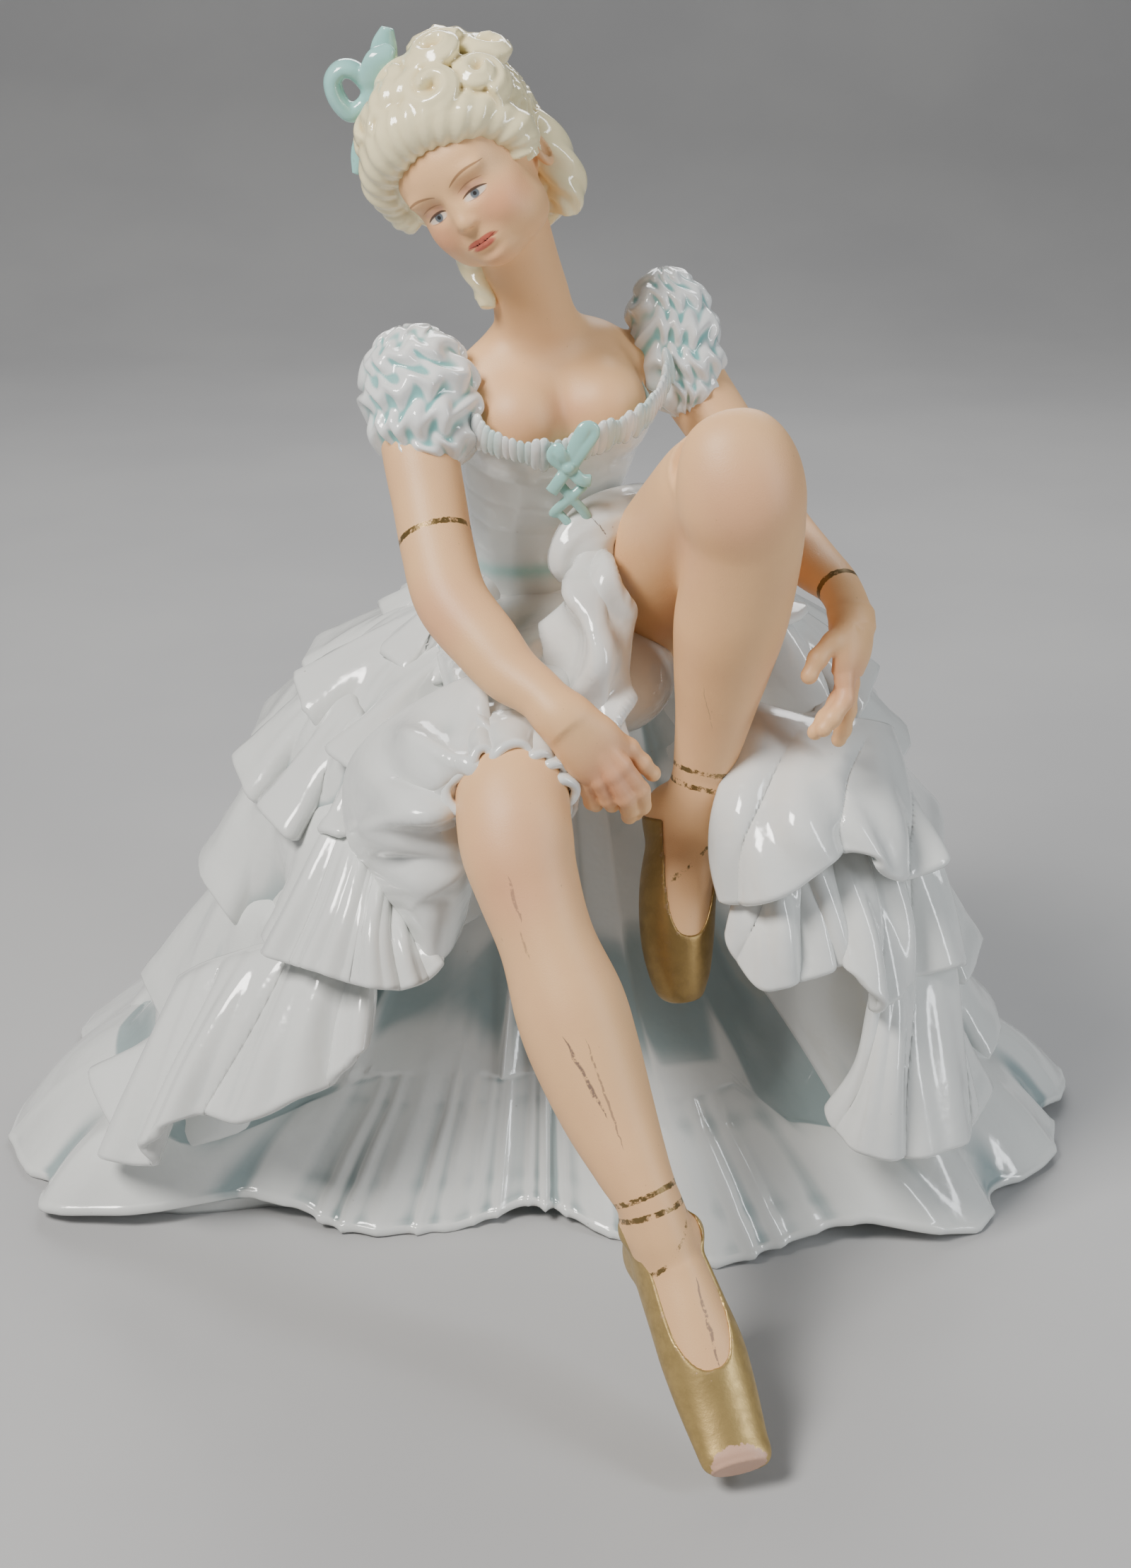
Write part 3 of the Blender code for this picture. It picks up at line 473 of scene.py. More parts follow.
def near_arm_clay():
    """Her right arm, which reaches across to the slipper."""
    clay = clay_block((-42, -84, 115), (31, -8, 212), HAND_GRAIN)
    add_form(clay, tube([
        (-30, -21, 204, 9.2, 9.2), (-28.5, -29, 193, 8.6, 8.8), (-26.3, -36, 183, 8.3, 8.5),
        (-24.2, -43.5, 174, 8.2, 8.4), (-21, -51.5, 165.2, 8.3, 8.3), (-13.5, -59.5, 157.8, 7.7, 7.8),
        (-8, -65, 152.9, 6.8, 6.9), (-1.5, -70.5, 150, 5.5, 5.7), (2.4, -74, 147.2, 4.7, 5.2),
        (5, -75.2, 144.6, 4.4, 5.2)], (0.6, -0.5, 0.6), rings=110, around=48), 1.0)
    add_form(clay, tube([
        (-2.5, -70.4, 149.8, 4.0, 3.6), (2.5, -74, 146.8, 5.0, 4.2), (6.2, -75.5, 143.4, 6.6, 3.9),
        (9.8, -75.2, 139.4, 7.5, 3.6), (12.2, -74.4, 135.6, 7.0, 3.2), (13.4, -73.6, 133.2, 5.6, 2.5)],
        (0.55, 0.18, 0.55), rings=30, around=32), 2.4)
    add_oval(clay, (3.8, -74.0, 145.8), (6.2, 4.7, 5.2), blend=3)
    finger(clay, [(9.5, -72.2, 143.2), (14.6, -71.5, 140.2), (18.4, -70.5, 137.2), (21.3, -69.4, 133.2),
                  (23.9, -68, 130.0)], 2.35, 1.4)
    finger(clay, [(13.0, -75, 139.2), (16.6, -75.2, 135.0), (20.9, -73, 128.0), (21.4, -68.5, 122.6),
                  (20.2, -63.5, 118.6)], 2.35)
    finger(clay, [(11.8, -75.8, 137.6), (14.4, -76, 133.2), (17.6, -74.6, 127.0), (18.7, -70, 122.4),
                  (18.8, -65.5, 118.6)], 2.35)
    finger(clay, [(9.6, -75.6, 135.8), (11.6, -75.4, 131.4), (13.8, -73.4, 126.2), (14.8, -68.5, 122.6)], 2.2)
    finger(clay, [(7.2, -74.6, 134.6), (8.8, -73.8, 129.8), (10.3, -71.8, 124.9), (11.3, -67, 122.0)], 2.05)
    return clay


def far_arm_clay():
    """Her left arm, whose hand rests beside the raised leg."""
    clay = clay_block((18, -72, 122), (80, 20, 222), HAND_GRAIN)
    add_form(clay, tube([
        (29, 7, 211, 9, 9), (35, 3, 201, 8.4, 8.4), (43, -4, 190, 7.9, 7.9), (50.5, -12, 177.5, 7.3, 7.3),
        (56, -20, 171, 7.1, 7.1), (61.5, -32, 167.6, 6.2, 6.4), (66.2, -42, 165.4, 5.0, 5.6),
        (68.6, -47.5, 161.2, 4.8, 5.4), (69.0, -50, 158, 4.9, 5.2)], (0.2, 0.5, 0.8), rings=110, around=48), 1.0)
    add_form(clay, tube([
        (68.9, -48, 161, 5.2, 4.4), (69, -51.5, 156.6, 6.0, 4.0), (68.6, -53.6, 152.4, 6.2, 3.5),
        (67.8, -54, 148.6, 5.6, 3.0)], (0.55, 0.78, 0.0), rings=28, around=32), 2.4)
    finger(clay, [(67.6, -53.4, 158.8), (64.0, -56.2, 157.0), (60.6, -58.6, 153.9),
                  (58.6, -60.2, 150.3)], 2.5, 1.6)
    finger(clay, [(67.0, -56, 152.2), (66.8, -57.5, 148.6), (66.9, -59.4, 144.6), (64.0, -62, 141.0),
                  (61.9, -63, 138.6)], 2.3)
    finger(clay, [(68.0, -54.4, 150.6), (67.2, -55.6, 146.2), (65.4, -57.8, 143.4), (62.6, -60.4, 140.2),
                  (60.3, -61.2, 137.2)], 2.3)
    finger(clay, [(68.8, -51.8, 150.2), (68.9, -52, 145.6), (68.6, -52.2, 139.2), (67.7, -52, 134.4),
                  (66.9, -51.5, 131.6)], 2.2)
    finger(clay, [(69.4, -49.4, 150.4), (69.2, -48.8, 145.8), (68.4, -48.6, 141.0), (67.4, -48.6, 137.4)], 2.0)
    return clay


# %% [markdown]
# ## Legs and slippers
# The legs cross each other in space: the near one reaches forward to the table, the far one is drawn up
# and shows its shin. Each slipper is the foot's own field grown by half a millimetre, with the throat
# cut out as a rounded oblong, so its edge stands just proud of the instep and fits the foot everywhere.

# %% Leg clay
LEG_GRAIN, SHOE_GRAIN = 0.55, 0.45


def near_leg_form(clay):
    """The leg that reaches forward, from thigh to ankle."""
    add_form(clay, tube([
        (-4, -20, 129, 16, 15), (-6, -50, 129, 13.6, 13.6), (-7, -66, 129, 12.6, 12.6),
        (-7.3, -76, 127, 12.6, 12.0), (-6.3, -83.5, 119.5, 12.5, 11.6), (-3.6, -87.6, 110.5, 11.4, 11.0),
        (0.3, -92, 100, 10.6, 11.4), (5.0, -97, 88, 12.2, 13.2), (8.4, -101.5, 79, 12.0, 12.6),
        (13.4, -108.3, 67.5, 10.4, 10.4), (18.4, -115.2, 58.2, 8.3, 8.4), (21.8, -119, 52, 7.0, 7.4),
        (24.2, -120.5, 44.5, 6.8, 8.2), (25.5, -121, 38, 5.6, 7.0)], (1, 0.3, 0.2), rings=150, around=64), 1.0)
    add_oval(clay, (-5.0, -84.5, 122.5), (8.6, 6.0, 9.0), blend=4)


def near_foot_form(clay):
    """Its pointed foot."""
    add_form(clay, tube([
        (22.6, -118.5, 51.5, 5.6, 6.2), (24.6, -119.5, 44, 6.9, 9.0), (27.0, -121.2, 36, 7.4, 10.6),
        (30.4, -127.5, 29, 8.2, 9.2), (33.6, -133.5, 22.5, 8.9, 7.8), (36.4, -140, 16, 8.5, 6.3),
        (39.0, -147, 10.3, 7.6, 4.6), (40.3, -150.4, 8.0, 7.2, 3.7), (40.8, -152.0, 7.2, 6.0, 2.6)],
        (0.95, 0.35, 0.1), rings=80, around=48), 2.0)
    add_oval(clay, (22.8, -113.8, 35.5), (5.4, 6.0, 7.6), blend=3)
    add_oval(clay, (31.2, -119.0, 43.5), (2.6, 3.2, 3.4), blend=2.5)
    add_oval(clay, (18.6, -120.0, 45.0), (2.4, 3.0, 3.2), blend=2.5)


def far_leg_form(clay):
    """The raised leg, from thigh to ankle."""
    add_form(clay, tube([
        (20, 14, 138, 19, 17), (27, -14, 156, 18, 16.5), (34, -38, 178, 15.6, 15), (37.5, -53, 191, 13.8, 13.4),
        (38.5, -58, 196, 12, 12)], (0.9, 0.3, -0.3), rings=70, around=64), 1.0)
    add_form(clay, tube([
        (39.4, -60, 205, 9.5, 9), (40.6, -64.5, 201.5, 12.9, 11.4), (42, -65.6, 193.5, 14.0, 12.4),
        (43.3, -63.0, 183, 12.8, 11.9), (42.2, -57.2, 169.5, 12.7, 13.5), (41, -54, 160, 12.5, 13),
        (39.8, -51, 149, 11.0, 11), (38.4, -48, 136, 8.8, 9), (36.4, -46, 122, 6.9, 7),
        (35.2, -46, 114, 6.2, 7.0), (34, -46, 108, 5.0, 5.6)], (1, 0.2, 0), rings=130, around=64), 3.5)
    add_oval(clay, (42.0, -69.2, 193.5), (8.6, 7.0, 9.0), blend=6)


def far_foot_form(clay):
    """Its foot, which hangs almost straight down."""
    add_form(clay, tube([
        (36.6, -46, 120.5, 5.8, 6.2), (34.8, -45.2, 113, 6.9, 8.6), (32.6, -46.6, 104, 7.7, 9.8),
        (31.0, -51, 94, 8.5, 8.8), (30.8, -56, 84, 8.4, 7.0), (31.4, -59.3, 76, 7.0, 5.4),
        (32, -60.3, 71.6, 5.2, 4.0), (32.1, -60.5, 70.4, 3.8, 2.8)], (0.87, 0.48, 0.1), rings=80, around=48), 2.0)
    add_oval(clay, (28.6, -41.2, 108.5), (5.4, 6.2, 7.4), blend=3)
    add_oval(clay, (40.4, -44.4, 111.5), (2.4, 3.0, 3.2), blend=2.5)


LEATHER = 0.5  # the slipper's own thickness
THROAT_POWER = 2.6  # 2 would cut an oval throat, more makes it squarer


def slipper(clay, middle, axes, radii, sole, heel):
    """Grows a foot's field into a slipper; the throat goes down to the sole and back to the heel."""
    shoe = {**clay, "depth": clay["depth"] - LEATHER}
    cut, place = whole(shoe)
    offset = [p - c for p, c in zip(place, middle)]
    along, across, above = [sum(o * a for o, a in zip(offset, axis)) for axis in axes]
    round_throat = np.abs(along / radii[0]) ** THROAT_POWER + np.abs(across / radii[1]) ** THROAT_POWER
    throat = np.maximum((round_throat ** (1 / THROAT_POWER) - 1) * min(radii), -above - sole)
    throat = np.minimum(throat, along + heel)
    shoe["depth"][cut] = -soft_min(-shoe["depth"][cut], throat, 0.5)
    return shoe


# %% Fire the limbs and slippers
NEAR_FOOT_AXES = ((0.316, -0.620, -0.717), (0.934, 0.344, 0.098), (0.186, -0.700, 0.688))
FAR_FOOT_AXES = ((-0.05, -0.30, -0.953), (0.98, 0.177, -0.107), (0.20, -0.94, 0.28))


def leg_and_slipper(leg_form, foot_form, leg_box, shoe_box, names, throat):
    """One leg with its foot, and the slipper that grows from the same foot."""
    leg = clay_block(*leg_box, LEG_GRAIN)
    leg_form(leg)
    foot_form(leg)
    shoe = clay_block(*shoe_box, SHOE_GRAIN)
    foot_form(shoe)
    return fire(leg, names[0], 3, 0.22), fire(slipper(shoe, *throat), names[1], 2, 0.5)


near_arm_mesh = fire(near_arm_clay(), "near_arm_and_hand", 2, 0.22)
far_arm_mesh = fire(far_arm_clay(), "far_arm_and_hand", 2, 0.22)
near_leg_mesh, near_shoe_mesh = leg_and_slipper(
    near_leg_form, near_foot_form, ((-26, -157, 1), (50, -14, 148)), ((10, -158, 0), (52, -100, 60)),
    ("near_leg", "near_slipper"), ((29, -127.4, 39.8), NEAR_FOOT_AXES, (22, 7.0), 1.5, 14))
far_leg_mesh, far_shoe_mesh = leg_and_slipper(
    far_leg_form, far_foot_form, ((0, -88, 62), (66, 34, 216)), ((16, -72, 62), (50, -28, 128)),
    ("raised_leg", "raised_slipper"), ((34.4, -54.8, 107.9), FAR_FOOT_AXES, (22.0, 6.3), 12.0, 4))
for mesh in (near_arm_mesh, far_arm_mesh, near_leg_mesh, far_leg_mesh, near_shoe_mesh, far_shoe_mesh):
    mark_hollows(mesh, 3)
    print(f"{mesh.name}: {len(mesh.vertices)} points")

# %% [markdown]
# ## Sheets of cast cloth
# A flounce in porcelain is a thin wall with a soft rounded lip. A sheet is made from a net of points down
# its middle: the net is moved out to both sides by half the wall, and the lip is a half circle of extra
# rows. Towards the two ends the wall thins like an ellipse, so no edge of the cloth is left square.

# %% Sheet maker
LIP = np.radians((16, 38, 60, 80))


def end_spaced(count):
    """Places from 0 to 1, close together at both ends."""
    ends = np.array((0, 0.0006, 0.002, 0.0045))
    return np.concatenate([ends, np.linspace(0.008, 0.992, count - 8), (1 - ends)[::-1]])


def sheet(net, wall):
    """Closed sheet round a net of points [along the hem, from the top down to the hem]."""
    normal = np.cross(np.gradient(net, axis=0), np.gradient(net, axis=1))
    normal /= np.linalg.norm(normal, axis=2, keepdims=True) + 1e-12
    onward = net[:, -1] - net[:, -2]
    onward /= np.linalg.norm(onward, axis=1, keepdims=True) + 1e-12
    step = np.linalg.norm(np.diff(net[:, -1], axis=0), axis=1)
    run = np.concatenate([[0], np.cumsum(step)])
    to_end = np.minimum(run, run[-1] - run) / wall
    half = wall / 2 * np.sqrt(1 - (1 - np.clip(to_end, 0.004, 1)) ** 2)[:, None, None]
    lip_out = onward[:, None] * half * np.sin(LIP)[None, :, None]
    lip_side = normal[:, -1:] * half * np.cos(LIP)[None, :, None]
    front_lip = net[:, -1:] + lip_out + lip_side
    back_lip = (net[:, -1:] + lip_out - lip_side)[:, ::-1]
    loop = np.concatenate([net + normal * half, front_lip, back_lip, (net - normal * half)[:, ::-1]], axis=1)
    around = loop.shape[1]
    quads = ring_faces(len(net), around)[0]
    j = np.arange(around // 2 - 1)
    zip_low = np.stack([j + 1, j, around - 1 - j, around - 2 - j], 1)
    zip_high = zip_low[:, ::-1] + (len(net) - 1) * around
    return loop.reshape(-1, 3), [np.concatenate([quads, zip_low, zip_high])]


def fine_net(control, rows, columns, wave=None):
    """Net of points through a coarse net of given ones, moved along its normal by wave(u, v)."""
    net = np.array(control, float)
    m, n = net.shape[:2]
    net = smooth_rows(net.reshape(m, -1), rows).reshape(-1, n, 3)
    m = len(net)
    net = smooth_rows(net.transpose(1, 0, 2).reshape(n, -1), columns).reshape(-1, m, 3).transpose(1, 0, 2)
    if wave:
        normal = np.cross(np.gradient(net, axis=0), np.gradient(net, axis=1))
        normal /= np.linalg.norm(normal, axis=2, keepdims=True)
        u, v = np.linspace(0, 1, net.shape[0])[:, None], np.linspace(0, 1, net.shape[1])[None, :]
        net = net + normal * wave(u, v)[:, :, None]
    return net


# %% [markdown]
# ## The skirt
# Six flounces step down the skirt round her sides and back, and leave the pleated petticoat open in
# front. Each flounce hangs from under the one above. Its hem is listed as angle, radius and
# height; uneven waves fold it, small at the gathers and deep at the hem, where cloth is loose.

# %% Skirt plan
SKIRT_AXIS = (0.0, 10.0)
SKIRT_TOP, WAIST_RADIUS = 156.0, 16.0
WALL = 2.6
STEP_IN, STEP_UP = 7.0, 3.5
HEM_PLAN = [
    (28, 91), (40, 98), (52, 108), (60, 123), (74, 129), (90, 139), (105, 139), (116, 142), (130, 120),
    (150, 90), (180, 74), (210, 90), (232, 124), (248, 139), (264, 138), (281, 139), (294, 135), (300, 120),
    (305, 100), (312, 88), (326, 79), (346, 61), (362, 58), (376, 69), (388, 91),
]
HEM_ARCH = [(28, 0), (50, 1), (60, 0), (90, 0.4), (120, 0), (180, 0.6), (240, 0), (285, 0), (307, 1),
            (320, 0.1), (340, 0), (356, 0.7), (376, 0), (388, 0)]
FLOUNCES = [
    (46, 318, 13, 2.0, [(45, 58, 150), (63, 66, 151), (90, 56, 149), (130, 45, 146), (180, 38, 141),
                        (230, 40, 139), (284, 40, 140), (313, 44, 134), (320, 46, 134)]),
    (60, 322, 14, 2.8, [(32, 83, 96), (38, 91, 101), (45, 92, 106), (69, 82, 129), (80, 79, 133),
                        (180, 55, 126), (284, 61, 127), (303, 64, 120), (319, 69, 121), (324, 62, 121)]),
    (58, 327, 15, 3.4, [(32, 84, 92), (45, 93, 101), (61, 93, 109), (76, 89, 114), (180, 65, 104),
                        (281, 77, 105), (302, 76, 101), (326, 75, 105)]),
    (58, 330, 15, 3.8, [(32, 84, 88), (45, 94, 95), (60, 97, 93), (76, 102, 85), (180, 72, 79), (282, 86, 77),
                        (295, 84, 70), (318, 81, 73), (332, 79, 74), (342, 78, 81)]),
    (60, 303, 15, 4.2, [(34, 87, 74), (45, 97, 76), (54, 101, 64), (70, 106, 60), (78, 110, 54),
                        (180, 78, 47), (270, 103, 42), (290, 98, 36), (302, 84, 40), (320, 70, 52),
                        (340, 62, 69)]),
    (60, 299, 14, 4.4, [(43, 95, 42), (49, 107, 28), (67, 114, 19), (90, 118, 24), (180, 80, 22),
                        (270, 118, 22), (287, 117, 22), (300, 115, 19), (306, 98, 28), (316, 79, 37)]),
]
PETTICOAT = [(0, 0.0), (25, 0.10), (60, 0.22), (100, 0.42), (128, 0.68), (145, 0.88), (156, 1.0)]


def table(angle, rows):
    """Value at an angle, read between the rows."""
    return np.interp(angle, *zip(*rows))


def petticoat_radius(angle, height):
    """Radius of the underskirt, which falls hollow from the lap to its hem."""
    hem = table(angle, HEM_PLAN)
    return WAIST_RADIUS + (hem - WAIST_RADIUS) * smooth_lookup(SKIRT_TOP - height, PETTICOAT)


def round_skirt(angle, radius, height):
    """Points from angles round the skirt (from the front towards her left), radii and heights."""
    turn = np.radians(angle)
    x, y = SKIRT_AXIS[0] + radius * np.sin(turn), SKIRT_AXIS[1] - radius * np.cos(turn)
    return np.stack(np.broadcast_arrays(x, y, height), axis=-1)


def wander(angle, seed):
    """Slow uneven wave of about -1 to 1 round the skirt."""
    a = np.radians(angle)
    return (np.sin(5 * a + 1.9 * seed) + 0.6 * np.sin(8 * a + 3.1 * seed) + 0.4 * np.sin(13 * a + seed)) / 2


def stepping(angle):
    """For every flounce: where it starts, its hem, and how much of it is there at each angle."""
    inner_r = np.full(angle.shape, WAIST_RADIUS)
    inner_z = np.full(angle.shape, SKIRT_TOP)
    for right, left, _, _, hem in FLOUNCES:
        places, radii, heights = zip(*hem)
        hem_z = np.minimum(np.interp(angle, places, heights), inner_z - STEP_UP - 3.0)
        here = ease(angle, right - 3, right + 3) * (1 - ease(angle, left - 3, left + 3))
        under = petticoat_radius(angle, hem_z)
        hem_r = under + (np.interp(angle, places, radii) - under) * here
        yield inner_r, inner_z, hem_r, hem_z, here
        inner_r = hem_r - STEP_IN * here
        inner_z = hem_z + (STEP_UP + 0.6) * here - 0.6


# %% The six flounces
FLOUNCE_COLUMNS, FLOUNCE_ROWS = 300, 20


def flounce(number):
    """One flounce, from under the one above to its own hem."""
    right, left, folds, depth, _ = FLOUNCES[number]
    angle = right - 3 + (left - right + 6) * end_spaced(FLOUNCE_COLUMNS)
    inner_r, inner_z, hem_r, hem_z, here = list(stepping(angle))[number]
    seed = number * 1.7
    a = np.radians(angle)
    phase = folds * a + 1.1 * np.sin(3 * a + seed) + 0.7 * np.sin(7 * a + 2.3 * seed)
    mirror = np.where(angle < 180, -1.0, 1.0)
    petal_phase = mirror * (phase - phase[np.argmin(np.abs(angle - 180))])
    swell = 1 + 0.32 * wander(angle, seed + 2)
    start = 0.16 + 0.14 * wander(angle * 1.7, seed + 5)
    rows = []
    for t in np.linspace(-0.06, 1.0, FLOUNCE_ROWS):
        down = max(t, 0.0)
        grow = ease(down, start, 1.25) ** 0.9 * here * 1.6
        lean = 0.35 * down * wander(angle * 2.3, seed + 1)
        pinch = 1 - np.abs(np.sin(1.5 * phase + 1.5 * lean + number)) ** 0.7
        to_front = petal_phase + lean
        crest = np.sin(to_front) + 0.30 * np.sin(2 * to_front + 0.9)
        zigzag = np.arcsin(0.98 * np.sin(to_front + 0.9)) * 2 / math.pi
        small = ease(down, 0.02, 0.2) * (1 - ease(down, 0.25, 0.8))
        gather = np.sin(3.3 * phase + 2 * wander(angle, seed)) * small
        theta = angle - mirror * grow * np.degrees(0.46 * np.sin(2 * to_front) / folds)
        cone = inner_r + (hem_r - inner_r) * down**0.9 - 3.0 * (1 - ease(t, -0.06, 0.05))
        flare = 0.9 * ease(down, 0.82, 1.0)
        pressed = 1.5 * pinch * ease(down, 0.10, 0.6) - 0.4
        relief = swell * grow * 1.15 * depth * (crest - 0.5) + 0.35 * gather + flare + pressed
        radius = cone + here * relief - WALL / 2
        height = inner_z + (hem_z - inner_z) * down**1.15 + swell * grow * 0.85 * depth * zigzag * here
        rows.append(round_skirt(theta, radius, height + 0.8 * (t < 0)))
    net = np.array(rows).transpose(1, 0, 2)
    return make_mesh(f"flounce_{number + 1}", *sheet(net[::-1], WALL))


# %% Petticoat, train and the hollow body behind the flounces
PETTICOAT_COLUMNS = 500
PLEATS = 66
SEAM_HEIGHT = 35.5  # seam where the smooth petticoat ends and its pleated edge begins
ROUNDED_COLUMNS = 9  # columns on each side over which the opened edge of the skirt is rounded
ARCH_HEIGHT, HEM_ROUND, BASE_INSET = 6.0, 0.9, 14


def petticoat():
    """The pleated underskirt with the train behind, closed below by the flat base."""
    angle = np.linspace(28, 388, PETTICOAT_COLUMNS, endpoint=False)
    steps = list(stepping(angle))
    last = steps[-1]
    stops = [(s[0] - 2.2 * s[4], s[1] - 1.0) for s in steps[1:]]
    inner_r = last[2] - STEP_IN * last[4]
    inner_z = last[3] + (STEP_UP + 0.6) * last[4] - 0.6
    key_r = [np.full(PETTICOAT_COLUMNS, WAIST_RADIUS), *[s[0] for s in stops], inner_r]
    key_z = [np.full(PETTICOAT_COLUMNS, SKIRT_TOP - 1), *[s[1] for s in stops], inner_z]
    hem_r = table(angle, HEM_PLAN)
    arch = table(angle, HEM_ARCH) * ARCH_HEIGHT
    a = np.radians(angle)
    phase = 15 * a + 1.1 * np.sin(3 * a + 9) + 0.7 * np.sin(7 * a + 20.7)
    crest = np.sin(phase) + 0.30 * np.sin(2 * phase + 0.9)
    zigzag = np.arcsin(0.98 * np.sin(phase + 0.9)) * 2 / math.pi
    train = ease(angle, 44, 56) - ease(angle, 300, 312)
    pleat_phase = PLEATS * a + 0.9 * np.sin(17 * a) + 0.6 * np.sin(29 * a + 1)
    pleat = cusp(pleat_phase / 2, 0.8)
    pleat_swell = 0.75 + 0.3 * np.sin(23 * a) + 0.2 * np.sin(11 * a + 2)

    def hang(z):
        """Petticoat in front: smooth wide folds, a seam with a lip, and fine pleats below it."""
        seam = SEAM_HEIGHT + 1.2 * np.sin(9 * a)
        wide = 2.1 * cusp(8.5 * a + 1.2 * np.sin(5 * a), 0.8) * ease(SKIRT_TOP - z, 40, 100)
        below = ease(seam - z, 0.0, 0.9)
        pleats = pleat * pleat_swell * (0.35 + 0.65 * ease(seam - z, 0, 22))
        return petticoat_radius(angle, z) + wide * (1 - 0.5 * below) + 1.1 * (1 - below) + below * 0.9 * pleats

    near_opening = ease(angle, 40, 48) * (1 - ease(angle, 61, 68))
    spread = range(-ROUNDED_COLUMNS, ROUNDED_COLUMNS + 1)
    rows = []
    for i in range(len(FLOUNCES)):
        for s in np.linspace(0, 1, 5, endpoint=False):
            z = key_z[i] + (key_z[i + 1] - key_z[i]) * s
            r = key_r[i] + (key_r[i + 1] - key_r[i]) * s
            front = 1 - steps[i][4] * steps[min(i + 1, 5)][4]
            wall = r * (1 - front) + hang(z) * front
            rounded = sum(np.roll(wall, k) for k in spread) / len(spread)
            rows.append((angle, wall + (rounded - wall) * near_opening, z))
    fall = [0.0, 0.03, *np.linspace(0.05, 0.26, 14), *np.linspace(0.29, 1.0, 24)]
    for t in fall:
        z = inner_z + (WALL + arch - inner_z) * t
        fall_r = inner_r + (hem_r - inner_r) * t**0.8
        soft = train * fall_r + train * t * (3.6 * crest + 0.9 * cusp(1.5 * phase + 0.6, 0.7))
        rows.append((angle, soft + (1 - train) * hang(z), z + train * 2.0 * math.sin(math.pi * t) * (1 + zigzag)))
    r_lip, z_lip = rows[-1][1], rows[-1][2]
    for turn in (0.5, 1.0, 1.5, 2.0, 2.6, 3.14):
        rows.append((angle, r_lip + HEM_ROUND * math.sin(turn), z_lip - WALL / 2 * (1 - math.cos(turn))))
    floor_z = rows[-1][2]
    for inset, share in ((3, 1.0), (8, 0.9), (12, 0.55), (13.4, 0.25), (BASE_INSET, 0.0)):
        rows.append((angle, np.minimum(hem_r - inset, r_lip - 0.6), floor_z * share))
    for shrink in (0.7, 0.35):
        rows.append((angle, (hem_r - BASE_INSET) * shrink, np.zeros(PETTICOAT_COLUMNS)))
    grid = np.array([round_skirt(*row) for row in rows])
    ends = np.array([[*SKIRT_AXIS, SKIRT_TOP - 1], [*SKIRT_AXIS, 0]])
    points = np.concatenate([grid.reshape(-1, 3), ends])
    return make_mesh("petticoat_and_train", points, ring_faces(len(rows), PETTICOAT_COLUMNS))


flounce_meshes = [flounce(i) for i in range(6)]
petticoat_mesh = petticoat()
for mesh in (*flounce_meshes, petticoat_mesh):
    mark_hollows(mesh, 4, 1.7)
    print(f"{mesh.name}: {len(mesh.vertices)} points")

# %% [markdown]
# ## Front drapes
# Over the near thigh the overskirt is pulled back: it ends in a frill round the knee and opens to her right
# like a shell. Between the thighs the skirt is rolled up into a padded roll with a frill falling from it.
# The cloth over the thigh and the roll touch everywhere, so they are pressed together as clay. The frill round
# the knee is a sheet. The shell, the fan and the long frill below it, the frill falling from the roll and the
# S-folds on her left keep crisp lips, so they are sheets through given nets.

# %% Lap, knee frill and roll
DRAPE_GRAIN = 0.72


def lap_folds(t, a):
    """Folds that run slantwise over the thigh, so that they lead from the roll to the shell."""
    slant = 1.2 - 2.4 * np.abs(np.sin(2.5 * a + 6 * t + 0.8 * np.sin(3 * a))) + 0.5 * np.sin(9 * a - 13 * t + 1)
    return 1.0 + 0.095 * slant * ease(t, 0.05, 0.4) * (1 - 0.7 * ease(t, 0.85, 1))


def falling_folds(u, v):
    """Slow S-folds down the frill that falls from the roll."""
    ridge = cusp(math.pi * (1.9 * (1 - u) + 0.5 * np.sin(7.5 * v + 0.4) + 0.5 * v), 0.9)
    return (2.0 * ridge + 0.8 * np.sin(15 * v - 6 * u + 1)) * ease(v, 0.0, 0.2)


FALLING = [
    [(14.4, -38, 169), (17.7, -44, 164.9), (19.4, -47, 157.8), (20.2, -50, 150.7), (19.7, -52, 143.3),
     (18.7, -54, 137.2), (20, -52, 128)],
    [(12.2, -42, 169.9), (12.7, -49, 167.2), (12.6, -53, 161.2), (12.6, -56, 152.9), (12.7, -58, 144.9),
     (12.7, -60, 136.1), (14, -58, 127)],
    [(9, -41, 169.3), (7.6, -46, 165.5), (6.4, -48, 158.8), (5.8, -50, 151.4), (5.8, -52, 143.3),
     (5.8, -55, 134.8), (8, -55, 126)],
    [(5.8, -36, 166.3), (3.6, -37, 161.2), (1.6, -38, 154.7), (0, -40, 147.9), (-0.7, -42, 141),
     (-0.7, -46, 132.7), (2, -48, 124)],
]


